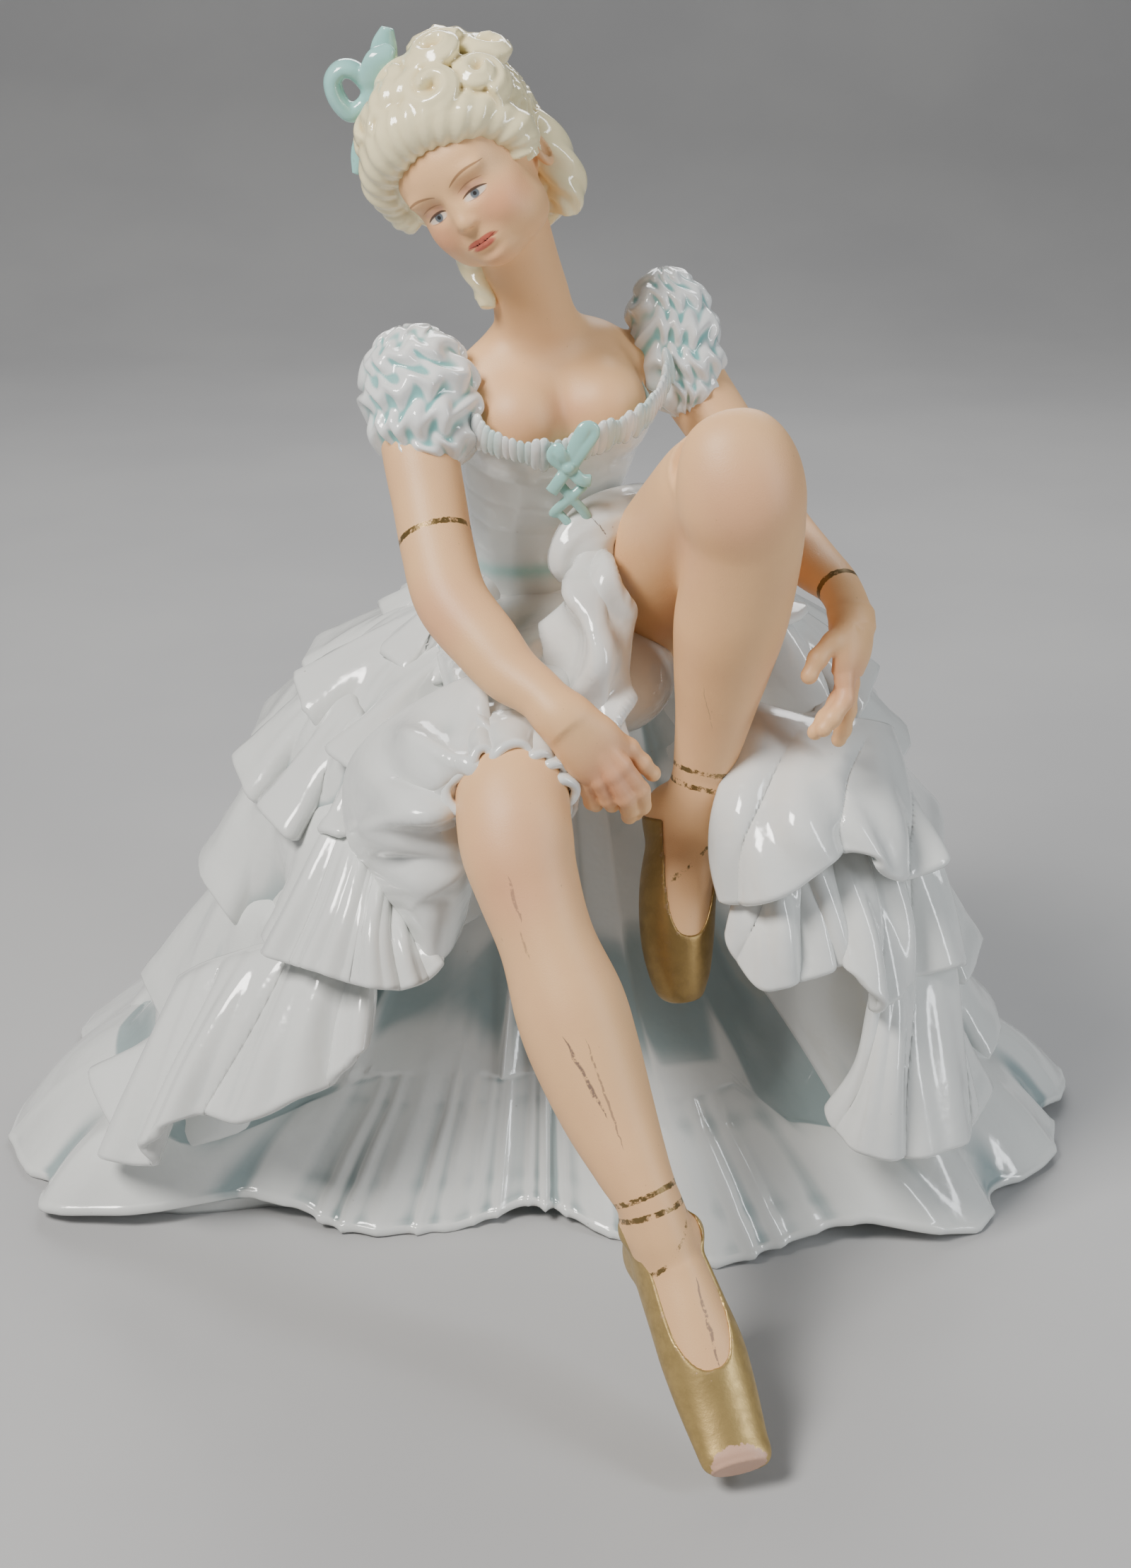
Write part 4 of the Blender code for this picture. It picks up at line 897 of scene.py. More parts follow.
def lap_clay():
    """Cloth over the near thigh and the padded roll between the thighs."""
    clay = clay_block((-48, -88, 66), (36, 26, 192), DRAPE_GRAIN)
    add_form(clay, tube([
        (2, 8, 134, 24, 20), (-3, -14, 134, 22, 18), (-6, -38, 133, 19, 17), (-7, -60, 129, 16.0, 15.3),
        (-7.4, -70, 127, 14.6, 14.4)], (1, 0, 0.1), rings=150, around=240, ripple=lap_folds), 1.0)
    roll = tube([(27, -3, 173, 5.6, 5.4), (22.5, -13, 175.6, 6.0, 5.8), (16.5, -23, 176.4, 6.3, 6.2),
                 (10.6, -30, 175.6, 6.1, 6.0), (6.2, -33, 172.2, 5.3, 5.2), (4.6, -34, 168.6, 4.4, 4.4),
                 (6, -33, 165, 3.4, 3.4)],
                (0.3, -0.9, 0.3), rings=100, around=72,
                ripple=lambda t, a: 1 + 0.06 * np.sin(3 * a + 7 * t) + 0.03 * np.sin(8 * a - 11 * t))
    add_form(clay, roll, 1.0)
    add_oval(clay, (10, -32, 170.5), (6.0, 5.5, 6.0), blend=2)
    add_oval(clay, (12, -24, 138), (19, 24, 14), blend=3)
    return clay


def knee_ruffle():
    """Gathered edge of the cloth, laid in waves round the upper half of the knee."""
    net = []
    for u in np.linspace(0, 1, 260):
        turn = math.radians(194 - 196 * u)
        phase = 2 * math.pi * 6.5 * u + 1.9 * math.sin(7 * u + 1) + 1.1 * math.sin(17 * u)
        swell = 0.55 + 0.5 * math.sin(9 * u + 0.6) ** 2 + 0.2 * math.sin(23 * u)
        row = []
        for v in np.linspace(0, 1, 16):
            loose = ease(v, 0.0, 1.0) * swell
            reach = 15.0 - 2.0 * ease(v, 0.3, 1.0) + 1.5 * math.sin(phase) * loose
            lean = math.radians(4.0) * math.cos(phase + 0.6) * loose
            row.append((-7.4 + reach * math.cos(turn + lean), -63 - 14.0 * v - 1.3 * math.cos(phase + 0.5) * loose,
                        127.4 + reach * math.sin(turn + lean) - 0.8 * v))
        net.append(row)
    return make_mesh("knee_ruffle", *sheet(np.array(net), 2.3))


# %% The shell beside the knee and the fan under it
SHELL = [
    [(-13, -56, 149), (-12.9, -62, 146.2), (-12.5, -67, 143.1), (-11.7, -70, 139.2), (-10.7, -72, 136.1)],
    [(-21.1, -52, 144.2), (-20, -62, 142.8), (-18.3, -69, 140.5), (-16.1, -73, 137.6), (-14.2, -75, 135.4)],
    [(-29.8, -50, 138.6), (-27.2, -62, 137.8), (-24.2, -70, 136.4), (-20.9, -75, 134.5), (-18.1, -76, 133.7)],
    [(-38.4, -50, 132.2), (-34.3, -62, 132.1), (-30, -71, 132), (-25.6, -76, 131.6), (-22, -77, 130.7)],
    [(-44.2, -50, 124.3), (-39, -63, 126.7), (-33.9, -71, 127.8), (-28.6, -76, 127.9), (-23.6, -77, 127)],
    [(-45.5, -52, 115.5), (-39.9, -64, 119.2), (-34.6, -72, 121.4), (-29.2, -76, 122.6), (-23.7, -77, 122.7)],
    [(-44, -54, 106.7), (-38.7, -65, 111.4), (-33.8, -72, 114.2), (-28.6, -75, 115.7), (-22.6, -76, 117.2)],
    [(-39.5, -57, 102.5), (-35.6, -66, 106.6), (-30.9, -72, 109.5), (-26.4, -74, 111.1), (-21.3, -74, 112)],
    [(-35.7, -60, 97.1), (-32.1, -67, 101.2), (-28.4, -71, 103.8), (-24.5, -72, 105.3), (-20.2, -71, 106.3)],
    [(-31.2, -63, 91.9), (-28.5, -68, 95.7), (-25.6, -70, 97.7), (-23.1, -69, 98.3), (-20.5, -66, 97.8)],
    [(-28.3, -65, 85.6), (-26.7, -68, 88.9), (-25, -68, 90.3), (-23.3, -66, 90.6), (-21.5, -62, 89.6)],
    [(-27.4, -66, 79.2), (-26.4, -67, 80.8), (-25.3, -66, 81.6), (-24.2, -64, 81.8), (-23.4, -60, 81.3)],
]
FAN = [
    [(-52.7, -44, 104.8), (-59.3, -50, 92.6), (-66.8, -52, 78.3)],
    [(-48.3, -48, 104.8), (-53.3, -56, 92.5), (-59.3, -60, 79.8)],
    [(-43.9, -52, 103.9), (-47.3, -61, 92.7), (-52.2, -66, 80.8)],
    [(-40.5, -55, 100.7), (-42.5, -65, 91.9), (-44.8, -71, 80.6)],
    [(-38, -57, 97.1), (-38.4, -67, 90.2), (-36.9, -73, 79.9)],
    [(-34.8, -58, 92.2), (-33.2, -67, 87.5), (-30.5, -72, 79.9)],
    [(-31.5, -59, 88.1), (-28.9, -66, 85.2), (-26, -69, 81.4)],
    [(-29.1, -60, 85), (-27, -64, 83.3), (-24.5, -65, 82.3)],
]
SWEEP = [
    [(-92.6, -34, 54.8), (-101.3, -42, 35.5), (-108.3, -48, 20.5)],
    [(-84.9, -38, 60.8), (-92.2, -49, 41.4), (-97.2, -57, 24.3)],
    [(-77.3, -42, 65.7), (-86.3, -53, 47.6), (-93.3, -61, 31.6)],
    [(-68.2, -45, 70.1), (-77.1, -55, 54.4), (-83.3, -62, 41.1)],
    [(-59.1, -50, 73.5), (-65, -60, 58.1), (-69.8, -68, 42.2)],
    [(-50.3, -54, 76.5), (-53.1, -62, 63.8), (-53.8, -70, 51.9)],
    [(-43.6, -55, 77.9), (-44.7, -62, 68.5), (-44.9, -68, 58.3)],
    [(-39.1, -54, 78.3), (-40, -59, 71.6), (-41, -64, 64.3)],
]


def shell_folds(u, v):
    """Folds that fan out from the knee, deep at the rim and calm near the shell's lower tip."""
    u, v = 1 - u, 1 - v
    fan = 2.6 * cusp(math.pi * (3.6 * u ** 0.9 + 0.5 * v), 0.9) + 1.0 * np.sin(2 * math.pi * 6.3 * u - 3.5 * v)
    return fan * ease(v, 0.0, 0.35) * (1 - 0.35 * ease(v, 0.75, 1)) * (1 - 0.85 * ease(u, 0.5, 0.85))


def fan_folds(u, v):
    """Narrow pressed folds of uneven width, as a fan has."""
    fold = cusp(math.pi * (4.6 * u + 0.2 * np.sin(9 * u) + 0.15), 0.8)
    return (1.5 * fold + 0.45 * np.sin(2 * math.pi * 11 * u)) * ease(v, 0.0, 0.95)


# %% S-folds on her left
UPPER = [
    [(45.7, -40, 131.1), (40, -52, 117.6), (39.1, -58, 107.4), (40.4, -62, 96.7)],
    [(50.5, -42, 130.5), (44.6, -56, 119.3), (43.7, -63, 109.7), (45.4, -67, 98.4)],
    [(55.7, -43, 129.4), (51, -57, 119.7), (51.3, -64, 111.5), (54.4, -68, 101.8)],
    [(61.7, -43, 128), (57.4, -57, 121.1), (58.5, -64, 114.2), (63.6, -65, 107.8)],
    [(67.9, -41, 127.2), (64.5, -53, 122.2), (66.8, -60, 116), (70.3, -62, 109.4)],
    [(73, -38, 126), (70.8, -49, 121), (72.8, -57, 112.8), (75.2, -60.5, 104)],
    [(77.6, -35, 124), (77, -45, 118), (79.5, -52, 109.5), (81.1, -57, 100)],
    [(81.4, -31, 121.5), (82.6, -39, 115), (85.6, -46, 107), (87.8, -51, 98.8)],
    [(84.4, -27, 118.5), (87.2, -34, 111.5), (90.4, -40, 104), (93, -45, 98)],
]
MIDDLE = [
    [(46.2, -54, 102.5), (43.2, -60, 95.8), (41.4, -62, 88.4)],
    [(48.3, -57, 100.6), (45.8, -63, 91.6), (44.3, -65, 83.0)],
    [(50.8, -60, 98.6), (50.6, -66, 89.7), (50.2, -68, 78)],
    [(53.4, -60, 99.5), (54.5, -66, 90.4), (55.5, -69, 78.8)],
    [(56.6, -60, 100.5), (59.2, -64, 90.9), (61.3, -67, 79.9)],
    [(60, -58, 101), (63.4, -62, 91.5), (65.6, -64, 81)],
    [(63.3, -57, 102), (67.4, -63, 91), (69.5, -66.5, 82)],
    [(66.7, -55, 103.2), (71.4, -63, 89.2), (74, -68.5, 76.4)],
    [(70.2, -53, 103.8), (75.2, -60, 86.8), (77.6, -66, 70.5)],
    [(73.8, -50, 103.9), (79, -55, 85.8), (80.5, -60, 70.6)],
    [(77.5, -47, 104), (82.6, -51, 85.4), (84.1, -55, 71.8)],
    [(81.2, -44, 104.1), (85.7, -47, 86.4), (88.2, -50, 71.5)],
    [(85, -40, 105.3), (91.1, -42, 87), (95.6, -45, 71.7)],
    [(88.9, -36, 105), (95.9, -37, 86.2), (101.7, -40, 69.2)],
]
LOBE = [
    [(76.5, -58, 74.2), (74.6, -60, 55.3), (67.5, -57, 40.1)],
    [(77.6, -58, 74), (75.2, -62, 54.4), (69.1, -61, 37)],
    [(79.3, -57, 73), (76.8, -63.5, 53), (72.6, -65, 34.9)],
    [(81.4, -56, 71), (79.4, -64, 51.6), (77.9, -67, 32.8)],
    [(83.6, -55, 68), (82.9, -63, 50.4), (84.2, -66, 31.1)],
    [(86.7, -52, 68), (87.4, -59, 49.7), (90, -63, 30)],
    [(90.7, -48, 67.4), (92.9, -54, 49.3), (96.9, -58, 29.5)],
    [(95.4, -44, 66.9), (98.6, -48, 49.1), (103.1, -51, 28)],
    [(99.4, -40, 66.4), (101.9, -43, 51), (105.4, -45, 33.3)],
]


# %% Fold and fire the drapes
TUCK = 4.0  # how far the first edge of a sheet is pushed back under the cloth above it


def folds(deep, count, slant, sharp, fine, ripples, drift=0.0, shift=0.0, loose=(0.0, 0.8), calm=None):
    """Wave for a sheet: count cusped folds, fine ripples on them, and both grow down the cloth."""
    def wave(u, v):
        fold = cusp(math.pi * (count * u + slant * v + shift), sharp)
        grown = (deep * fold + fine * np.sin(2 * math.pi * ripples * u + drift * v)) * ease(v, *loose)
        return grown * ease(u, 0.0, calm) if calm else grown
    return wave


def draped(name, control, rows, columns, wave, wall):
    """Sheet through a coarse net of given points."""
    net = np.array(control, float)
    back = net[:, :1] - net[:, 1:2]
    back = net[:, :1] + back / np.linalg.norm(back, axis=2, keepdims=True) * TUCK + np.array((0, TUCK, 0))
    net = fine_net(np.concatenate([back, net], axis=1), rows, columns, wave)
    mesh = make_mesh(name, *sheet(net, wall))
    mark_hollows(mesh, 4, 2.0)
    return mesh


lap_mesh = fire(lap_clay(), "lap_and_roll", 2, 0.5)
ruffle_mesh = knee_ruffle()
mark_hollows(lap_mesh, 4, 1.8)
mark_hollows(ruffle_mesh, 3, 1.8)
drape_meshes = [lap_mesh, ruffle_mesh] + [draped(*row) for row in (
    ("falling_frill", FALLING, 80, 110, falling_folds, 3.2),
    ("shell_beside_knee", [row[::-1] for row in SHELL[::-1]], 140, 52, shell_folds, 3.0),
    ("fan_under_shell", FAN, 130, 40, fan_folds, 2.4),
    ("sweep_on_her_right", SWEEP, 150, 50, folds(2.6, 3.4, 0.35, 0.8, 0.6, 9.5, drift=2, shift=0.1), 3.0),
    ("far_drape_upper", UPPER, 100, 50, folds(2.3, 2.7, 0.8, 0.85, 0.8, 5.3, drift=-2, loose=(0.05, 1)), 3.0),
    ("far_drape_middle", MIDDLE, 170, 40,
     folds(1.9, 5.3, 0.6, 0.8, 0.6, 9, drift=-3, loose=(0, 0.7), calm=0.22), 2.8),
    ("far_drape_lobe", LOBE, 100, 44, folds(1.5, 2.6, 0.4, 0.9, 0.45, 6, shift=0.2, calm=0.35), 2.8))]
for mesh in drape_meshes:
    print(f"{mesh.name}: {len(mesh.vertices)} points")

# %% [markdown]
# ## Bodice and sleeves
# The bodice is the same trunk and bust, grown by the thickness of its cloth and trimmed along the low
# neckline. Each puffed sleeve is gathered in six rows of frill, whose edges wander round the arm.

# %% Bodice and sleeves
NECKLINE = [(-34, 212), (-22, 207), (-19, 201), (-12, 196.5), (-3, 194), (5, 194.5), (11, 197), (19, 198.5),
            (26, 202), (30, 209), (36, 214)]
BACK_EDGE = 207  # height of the bodice's edge behind


def bodice_clay():
    """Bodice with its seams, over the trunk and bust."""
    clay = clay_block((-30, -44, 136), (38, 36, 216), 0.6)

    def boned(t, a):
        seam = sum(np.exp(-((t - level) / 0.006) ** 2) for level in (0.36, 0.46, 0.56, 0.66))
        return 1.0 + 0.006 * np.sin(14 * a) * ease(t, 0.05, 0.2) - 0.010 * seam

    add_form(clay, tube([
        (1, 11, 140, 23.5, 18.5, 0.1), (0, 7, 152, 18.2, 14.2, 0.18), (-0.2, 4, 160, 17.0, 13.6, 0.22),
        (-0.5, 0, 172, 18.4, 14.8, 0.3), (0, -4, 183, 20.4, 16.8, 0.38), (1, -7.5, 193, 22.4, 17.0, 0.42),
        (1, -8.5, 203, 23.2, 14.2, 0.42), (0.5, -8, 212, 22, 11, 0.42)],
        (1, 0, 0), rings=110, around=120, ripple=boned), 1.0)
    for centre in ((-6.8, -20.2, 197.4), (13.2, -13.4, 199.0)):
        add_oval(clay, centre, (11.5, 11.9, 11.9), blend=3.0)
    add_oval(clay, (3.4, -16.5, 195), (11, 11.5, 10), blend=3)
    cut, place = whole(clay)
    front = smooth_lookup(place[0], NECKLINE)
    back = ease(place[1], -18, -4)
    edge = front * (1 - back) + BACK_EDGE * back
    old = clay["depth"][cut]
    clay["depth"][cut] = -soft_min(-old, edge - place[2] + np.zeros_like(old), 0.8)
    return clay


FRILL_ROWS = 6  # rows of frill round a sleeve


def puffed_sleeve(name, centre, low, radii, seed=0.0):
    """Egg-shaped sleeve, gathered into rounded wavy rows and closed by a scalloped hem round the arm."""
    axis = unit(np.array(low) - np.array(centre))
    side = unit(np.array((1, 0, 0)) - axis * axis[0])
    other = np.cross(axis, side)
    rings, around = 112, 138
    s = np.linspace(0.03, 0.985, rings)[:, None]
    a = np.linspace(0, 2 * math.pi, around, endpoint=False)[None, :]
    uneven = 0.12 * np.sin(3 * a + seed) + 0.08 * np.sin(5 * a + 2 * seed)
    swing = 12 * a + 2.3 * np.sin(2.6 * FRILL_ROWS * s + seed)
    swing = swing + 1.8 * np.sin(3 * a + seed) + 0.9 * np.sin(5 * a + 2 * seed)
    place = s * (FRILL_ROWS + 0.4) + uneven + 0.135 * np.sin(swing) * ease(s, 0.0, 0.2)
    ridge = np.cos(2 * math.pi * place)
    hem = ease(s, 0.82, 0.93)
    frayed = hem * (0.04 + 0.045 * np.sin(15 * a + 1.5 * np.sin(4 * a)))
    swell = 1.0 + 0.080 * ridge + 0.014 * np.sin(swing + 1.8) * (1 + ridge) + frayed
    polar = math.pi * s
    roundness = np.sin(polar) ** 0.86 * swell
    along = -np.cos(polar) * radii[2] + 0.02 * radii[2] * np.sin(swing + 1.8)
    grid = (np.array(centre) + axis * along[..., None] + side * (roundness * radii[0] * np.cos(a))[..., None]
            + other * (roundness * radii[1] * np.sin(a))[..., None])
    ends = grid[[0, -1]].mean(axis=1)
    mesh = make_mesh(name, np.concatenate([grid.reshape(-1, 3), ends]), ring_faces(rings, around))
    mark_hollows(mesh, 4, 2.4)
    return mesh


bodice_mesh = fire(bodice_clay(), "bodice", 3, 0.4)
near_sleeve_mesh = puffed_sleeve("near_sleeve", (-28.4, -23.5, 203.8), (-24, -31, 189), (13.4, 13.6, 17.4))
far_sleeve_mesh = puffed_sleeve("far_sleeve", (30.6, 3.0, 211.4), (34, -3, 196), (10.9, 11.6, 17.6), seed=2.0)

# %% [markdown]
# ## Hair and its bow
# The hair is swept up: a smooth combed cap, a thick rolled pompadour round the brow, snails of curls on
# top and a roll at the nape. Every lock is a tube with grooves that wind along it, as a modeller's tool
# leaves them. The bow is a wide ribbon bent into loops.

# %% Hair
HAIR_GRAIN = 0.46


def ball(centre, radii, axes, carve):
    """Oval as rings of points; carve scales it by direction."""
    rings, around = 70, 140
    polar = np.linspace(0.02, math.pi - 0.02, rings)[:, None]
    a = np.linspace(0, 2 * math.pi, around, endpoint=False)[None, :]
    d = np.stack(np.broadcast_arrays(np.sin(polar) * np.cos(a), np.sin(polar) * np.sin(a), np.cos(polar)), -1)
    grid = np.array(centre) + (d * np.array(radii) * carve(d)[..., None]) @ np.array(axes)
    ends = np.array([grid[0].mean(0), grid[-1].mean(0)])
    return np.concatenate([grid.reshape(-1, 3), ends]), ring_faces(rings, around)


def curl(centre, radius, thick, facing, turns=1.7, start=0.0):
    """Lock of hair rolled up into a snail."""
    out = unit(facing)
    u = unit(np.cross(out, UP))
    v = np.cross(out, u)
    t = np.linspace(0, 1, 14)[:, None]
    a = start + t * turns * 2 * math.pi
    path = np.array(centre) + (u * np.cos(a) + v * np.sin(a)) * radius * (1 - 0.82 * t) + out * thick * 1.15 * t
    widths = np.repeat(thick * (1 - 0.42 * t), 2, axis=1)
    return tube(np.concatenate([path, widths], 1), tuple(out), rings=110, around=22,
                ripple=lambda t, a: 1 + 0.09 * np.sin(5 * a + 3 * t))


def hair_clay():
    """Cap, pompadour, curls and the roll at the nape."""
    clay = clay_block((-48, -56, 216), (28, 22, 288), HAIR_GRAIN)

    def combed(d):
        swing = np.arctan2(d[..., 1] + 0.25, d[..., 2])
        return 1.0 + 0.022 * np.sin(17 * swing + 3.2 * d[..., 0]) + 0.010 * np.sin(39 * swing + 6 * d[..., 0])

    add_form(clay, ball(on_head(-1.5, -5.5, 10), (19.2, 20.3, 19.3), HEAD_AXES, combed), 0.6)
    add_form(clay, ball(on_head(0, -13.5, -6), (14.5, 9, 13), HEAD_AXES, combed), 1.2)

    def strands(t, a):
        wide, fine = np.sin(a + 31 * t + 1.5 * np.sin(7 * t)), np.sin(2 * a + 118 * t + 2 * np.sin(11 * t))
        return 1.0 + (0.05 * wide + 0.045 * fine) + 0.05 * np.sin(13 * t + 1)

    for shift, rise, thick in ((0.0, 0.0, 1.12), (-3.6, 6.0, 0.9)):
        brow = []
        for a in np.radians(np.linspace(-112, 112, 13)):
            wide = (4.3 + 1.2 * math.cos(a)) * thick
            forward = 12.2 * math.cos(a * 0.62) ** 0.6 - 5.5 * abs(math.sin(a)) ** 3 + shift
            aside, up = (16.2 - rise * 0.3) * math.sin(a) - 1.0, 5.0 + (13.0 + rise) * math.cos(a)
            brow.append((*on_head(aside, forward, up), wide, wide))
        add_form(clay, tube(brow, tuple(GAZE), rings=260, around=52, ripple=strands), 0.7)
    for side, forward, up, radius, start in (
            (-8, 9.0, 21.5, 5.0, 0.0), (9.0, 9.0, 21.0, 6.0, 4.0), (0.5, 4.5, 26.0, 5.4, 2.0),
            (-13, 0, 20, 4.8, 2.5), (10.5, 1, 26.0, 5.6, 3.0), (-5, -6, 25.6, 5.2, 1.0),
            (6, -8, 27.0, 5.6, 0.5), (-14, -9, 16, 4.8, 3.5), (15.5, 3.5, 17.5, 4.8, 1.2),
            (15.5, -7, 19.5, 5.4, 2.6), (-3.5, 11.5, 21.0, 4.0, 5.2)):
        place = on_head(side, forward, up)
        facing = place - on_head(0, -4.5, 6)
        add_form(clay, curl(place, radius, 3.3, facing, turns=1.35, start=start), 1.1)
    nape = [(13, -9, 4, 4.6), (13, -10, -6, 4.8), (10.5, -10.5, -14, 4.4), (7, -9.5, -18, 2.6)]
    add_form(clay, tube([(*on_head(*row[:3]), row[3], row[3]) for row in nape], tuple(GAZE), rings=80, around=40,
                        ripple=lambda t, a: 1 + 0.10 * np.sin(4 * a + 16 * t)), 0.9)
    add_form(clay, tube([(-19, -13, 238, 4, 4), (-15.5, -15, 232, 3.4, 3.2), (-13.4, -17.5, 227, 2.8, 2.6),
                         (-13.4, -19, 224, 1.7, 1.6)], (1, 0, 0), rings=60, around=30,
                        ripple=lambda t, a: 1 + 0.12 * np.sin(3 * a + 14 * t)), 0.8)
    return clay


hair_mesh = fire(hair_clay(), "swept_up_hair", 1, 0.7)


# %% Hair bow
def bow_clay():
    """Bow of wide ribbon on the back of the hair."""
    clay = clay_block((-56, -34, 240), (-20, -8, 290), 0.36)

    def ribbon(path, widths, thick, broad=(0, 1, 0.2), blend=0.6):
        add_form(clay, tube([(*p, w, thick) for p, w in zip(path, widths)], broad, rings=90, around=28), blend)

    ribbon([(-36.4, -20.5, 271), (-35.6, -20, 276.4), (-35.2, -19.6, 281.6), (-34.4, -19.5, 285.6)],
           (1.6, 3.0, 2.9, 1.4), 1.7, broad=(1, 0, 0))
    ribbon([(-37.0, -21.5, 271), (-37.2, -23.6, 275.2), (-35.6, -24.4, 279.2), (-33.4, -23, 281.4)],
           (2.0, 3.4, 3.4, 1.8), 1.9, broad=(1, 0, 0))
    ribbon([(-37.5, -21.5, 272), (-41.2, -22, 276.4), (-44.4, -22, 277.0), (-46.4, -22, 274.6),
            (-45.6, -22, 270.8), (-43.0, -22, 267.8), (-40.6, -22, 268.6), (-38.0, -21.5, 271)],
           (1.4, 2.8, 3.0, 3.0, 2.8, 2.4, 2.0, 1.4), 2.1)
    add_oval(clay, (-37.0, -21.5, 271), (3.4, 3.4, 3.2), blend=1.0)
    ribbon([(-37, -20, 268), (-38.8, -20.5, 263.5), (-40.8, -20, 258.5), (-42.0, -20, 254.2)],
           (2.0, 2.8, 2.4, 1.0), 1.2, broad=(1, 0, 0.3))
    knot = tube([(-36, -20.5, 270.5, 2.6, 2.6), (-28, -21, 266, 3.4, 3.4)], (0, 1, 0), rings=20, around=24)
    add_form(clay, knot, 1.0)
    return clay


bow_mesh = fire(bow_clay(), "hair_bow", 2, 0.6)
for mesh in (bodice_mesh, hair_mesh, bow_mesh):
    mark_hollows(mesh, 3)

# %% [markdown]
# ## Node groups for the finishes
# Painted shade in hollows, partly glaze that pools there, tiny specks from the kiln, a painted band, stroke or
# spot: several finishes use each of these, so each is one shader node group, built once and given its own values
# in every material. The groups only work out masks and colours; the shader itself stays in the material.

# %% Small node helpers
def math_node(tree, operation, *values, clamp=False):
    """One arithmetic step; a value may be a number or a socket."""
    node = tree.nodes.new("ShaderNodeMath")
    node.operation = operation
    node.use_clamp = clamp
    for socket, value in zip(node.inputs, values):
        if isinstance(value, (int, float)):
            socket.default_value = value
        else:
            tree.links.new(value, socket)
    return node.outputs[0]


def vector_node(tree, operation, *values):
    """One step with vectors."""
    node = tree.nodes.new("ShaderNodeVectorMath")
    node.operation = operation
    for socket, value in zip(node.inputs, values):
        if isinstance(value, bpy.types.NodeSocket):
            tree.links.new(value, socket)
        else:
            socket.default_value = value
    return node.outputs["Value" if operation in {"DOT_PRODUCT", "LENGTH", "DISTANCE"} else "Vector"]


def plus(tree, a, b):
    return math_node(tree, "ADD", a, b)


def minus(tree, a, b, clamp=False):
    return math_node(tree, "SUBTRACT", a, b, clamp=clamp)


def times(tree, a, b, clamp=False):
    return math_node(tree, "MULTIPLY", a, b, clamp=clamp)


def smooth_step(tree, value, low, high):
    """0 below low, 1 above high, as ease does for numbers."""
    node = tree.nodes.new("ShaderNodeMapRange")
    node.interpolation_type = "SMOOTHSTEP"
    for name, given in (("Value", value), ("From Min", low), ("From Max", high)):
        if isinstance(given, (int, float)):
            node.inputs[name].default_value = given
        else:
            tree.links.new(given, node.inputs[name])
    return node.outputs["Result"]


def mix_colour(tree, share, first, second):
    """The first colour where share is 0, the second where it is 1."""
    node = tree.nodes.new("ShaderNodeMix")
    node.data_type = "RGBA"
    for socket, value in ((node.inputs[0], share), (node.inputs[6], first), (node.inputs[7], second)):
        if isinstance(value, bpy.types.NodeSocket):
            tree.links.new(value, socket)
        elif isinstance(value, tuple):
            socket.default_value = (*value, 1)
        else:
            socket.default_value = value
    return node.outputs[2]


def noise(tree, place, scale, detail=3.0, rough=0.5):
    """Cloudy value round 0.5; scale is in patches per mm."""
    node = tree.nodes.new("ShaderNodeTexNoise")
    node.inputs["Scale"].default_value = scale
    node.inputs["Detail"].default_value = detail
    node.inputs["Roughness"].default_value = rough
    tree.links.new(place, node.inputs["Vector"])
    return node.outputs["Fac"]


def group(name, inputs, output, output_kind="NodeSocketFloat"):
    """Empty node group; returns it with its given values and its result."""
    tree = bpy.data.node_groups.new(name, "ShaderNodeTree")
    for label, kind, value in inputs:
        socket = tree.interface.new_socket(label, in_out="INPUT", socket_type=kind)
        socket.default_value = value
    tree.interface.new_socket(output, in_out="OUTPUT", socket_type=output_kind)
    given = tree.nodes.new("NodeGroupInput").outputs
    result = tree.nodes.new("NodeGroupOutput").inputs[0]
    return tree, given, result


FLOAT, VECTOR, COLOUR = "NodeSocketFloat", "NodeSocketVector", "NodeSocketColor"

# %% Pooled glaze with painted shade, and kiln specks
# A second colour in hollows: painted shade, and on the glazes partly glaze that pools there.
pooled_and_shaded, given, result = group("pooled glaze and painted shade", [
    ("Hollow", FLOAT, 0.5), ("Ridge", COLOUR, (1, 1, 1, 1)), ("Pool", COLOUR, (0, 0, 0, 1)),
    ("Start", FLOAT, 0.5), ("Full", FLOAT, 0.9)], "Color", COLOUR)
depth = smooth_step(pooled_and_shaded, given["Hollow"], given["Start"], given["Full"])
pooled_and_shaded.links.new(mix_colour(pooled_and_shaded, depth, given["Ridge"], given["Pool"]), result)

specks, given, result = group("kiln specks", [("Place", VECTOR, (0, 0, 0)), ("Scale", FLOAT, 0.5),
                                              ("Rarity", FLOAT, 0.72)], "Mask")
cells = specks.nodes.new("ShaderNodeTexNoise")
cells.inputs["Detail"].default_value = 1.0
specks.links.new(given["Place"], cells.inputs["Vector"])
specks.links.new(given["Scale"], cells.inputs["Scale"])
over = minus(specks, cells.outputs["Fac"], given["Rarity"])
specks.links.new(times(specks, over, 14.0, clamp=True), result)

# %% Painted spots, arcs, bands and strokes
oval_mask, given, result = group("painted spot", [
    ("Place", VECTOR, (0, 0, 0)), ("Middle", VECTOR, (0, 0, 0)), ("Radii", VECTOR, (1, 1, 1)),
    ("Softness", FLOAT, 0.2)], "Mask")
offset = vector_node(oval_mask, "SUBTRACT", given["Place"], given["Middle"])
length = vector_node(oval_mask, "LENGTH", vector_node(oval_mask, "DIVIDE", offset, given["Radii"]))
low = minus(oval_mask, 1.0, given["Softness"])
high = plus(oval_mask, 1.0, given["Softness"])
oval_mask.links.new(minus(oval_mask, 1.0, smooth_step(oval_mask, length, low, high)), result)

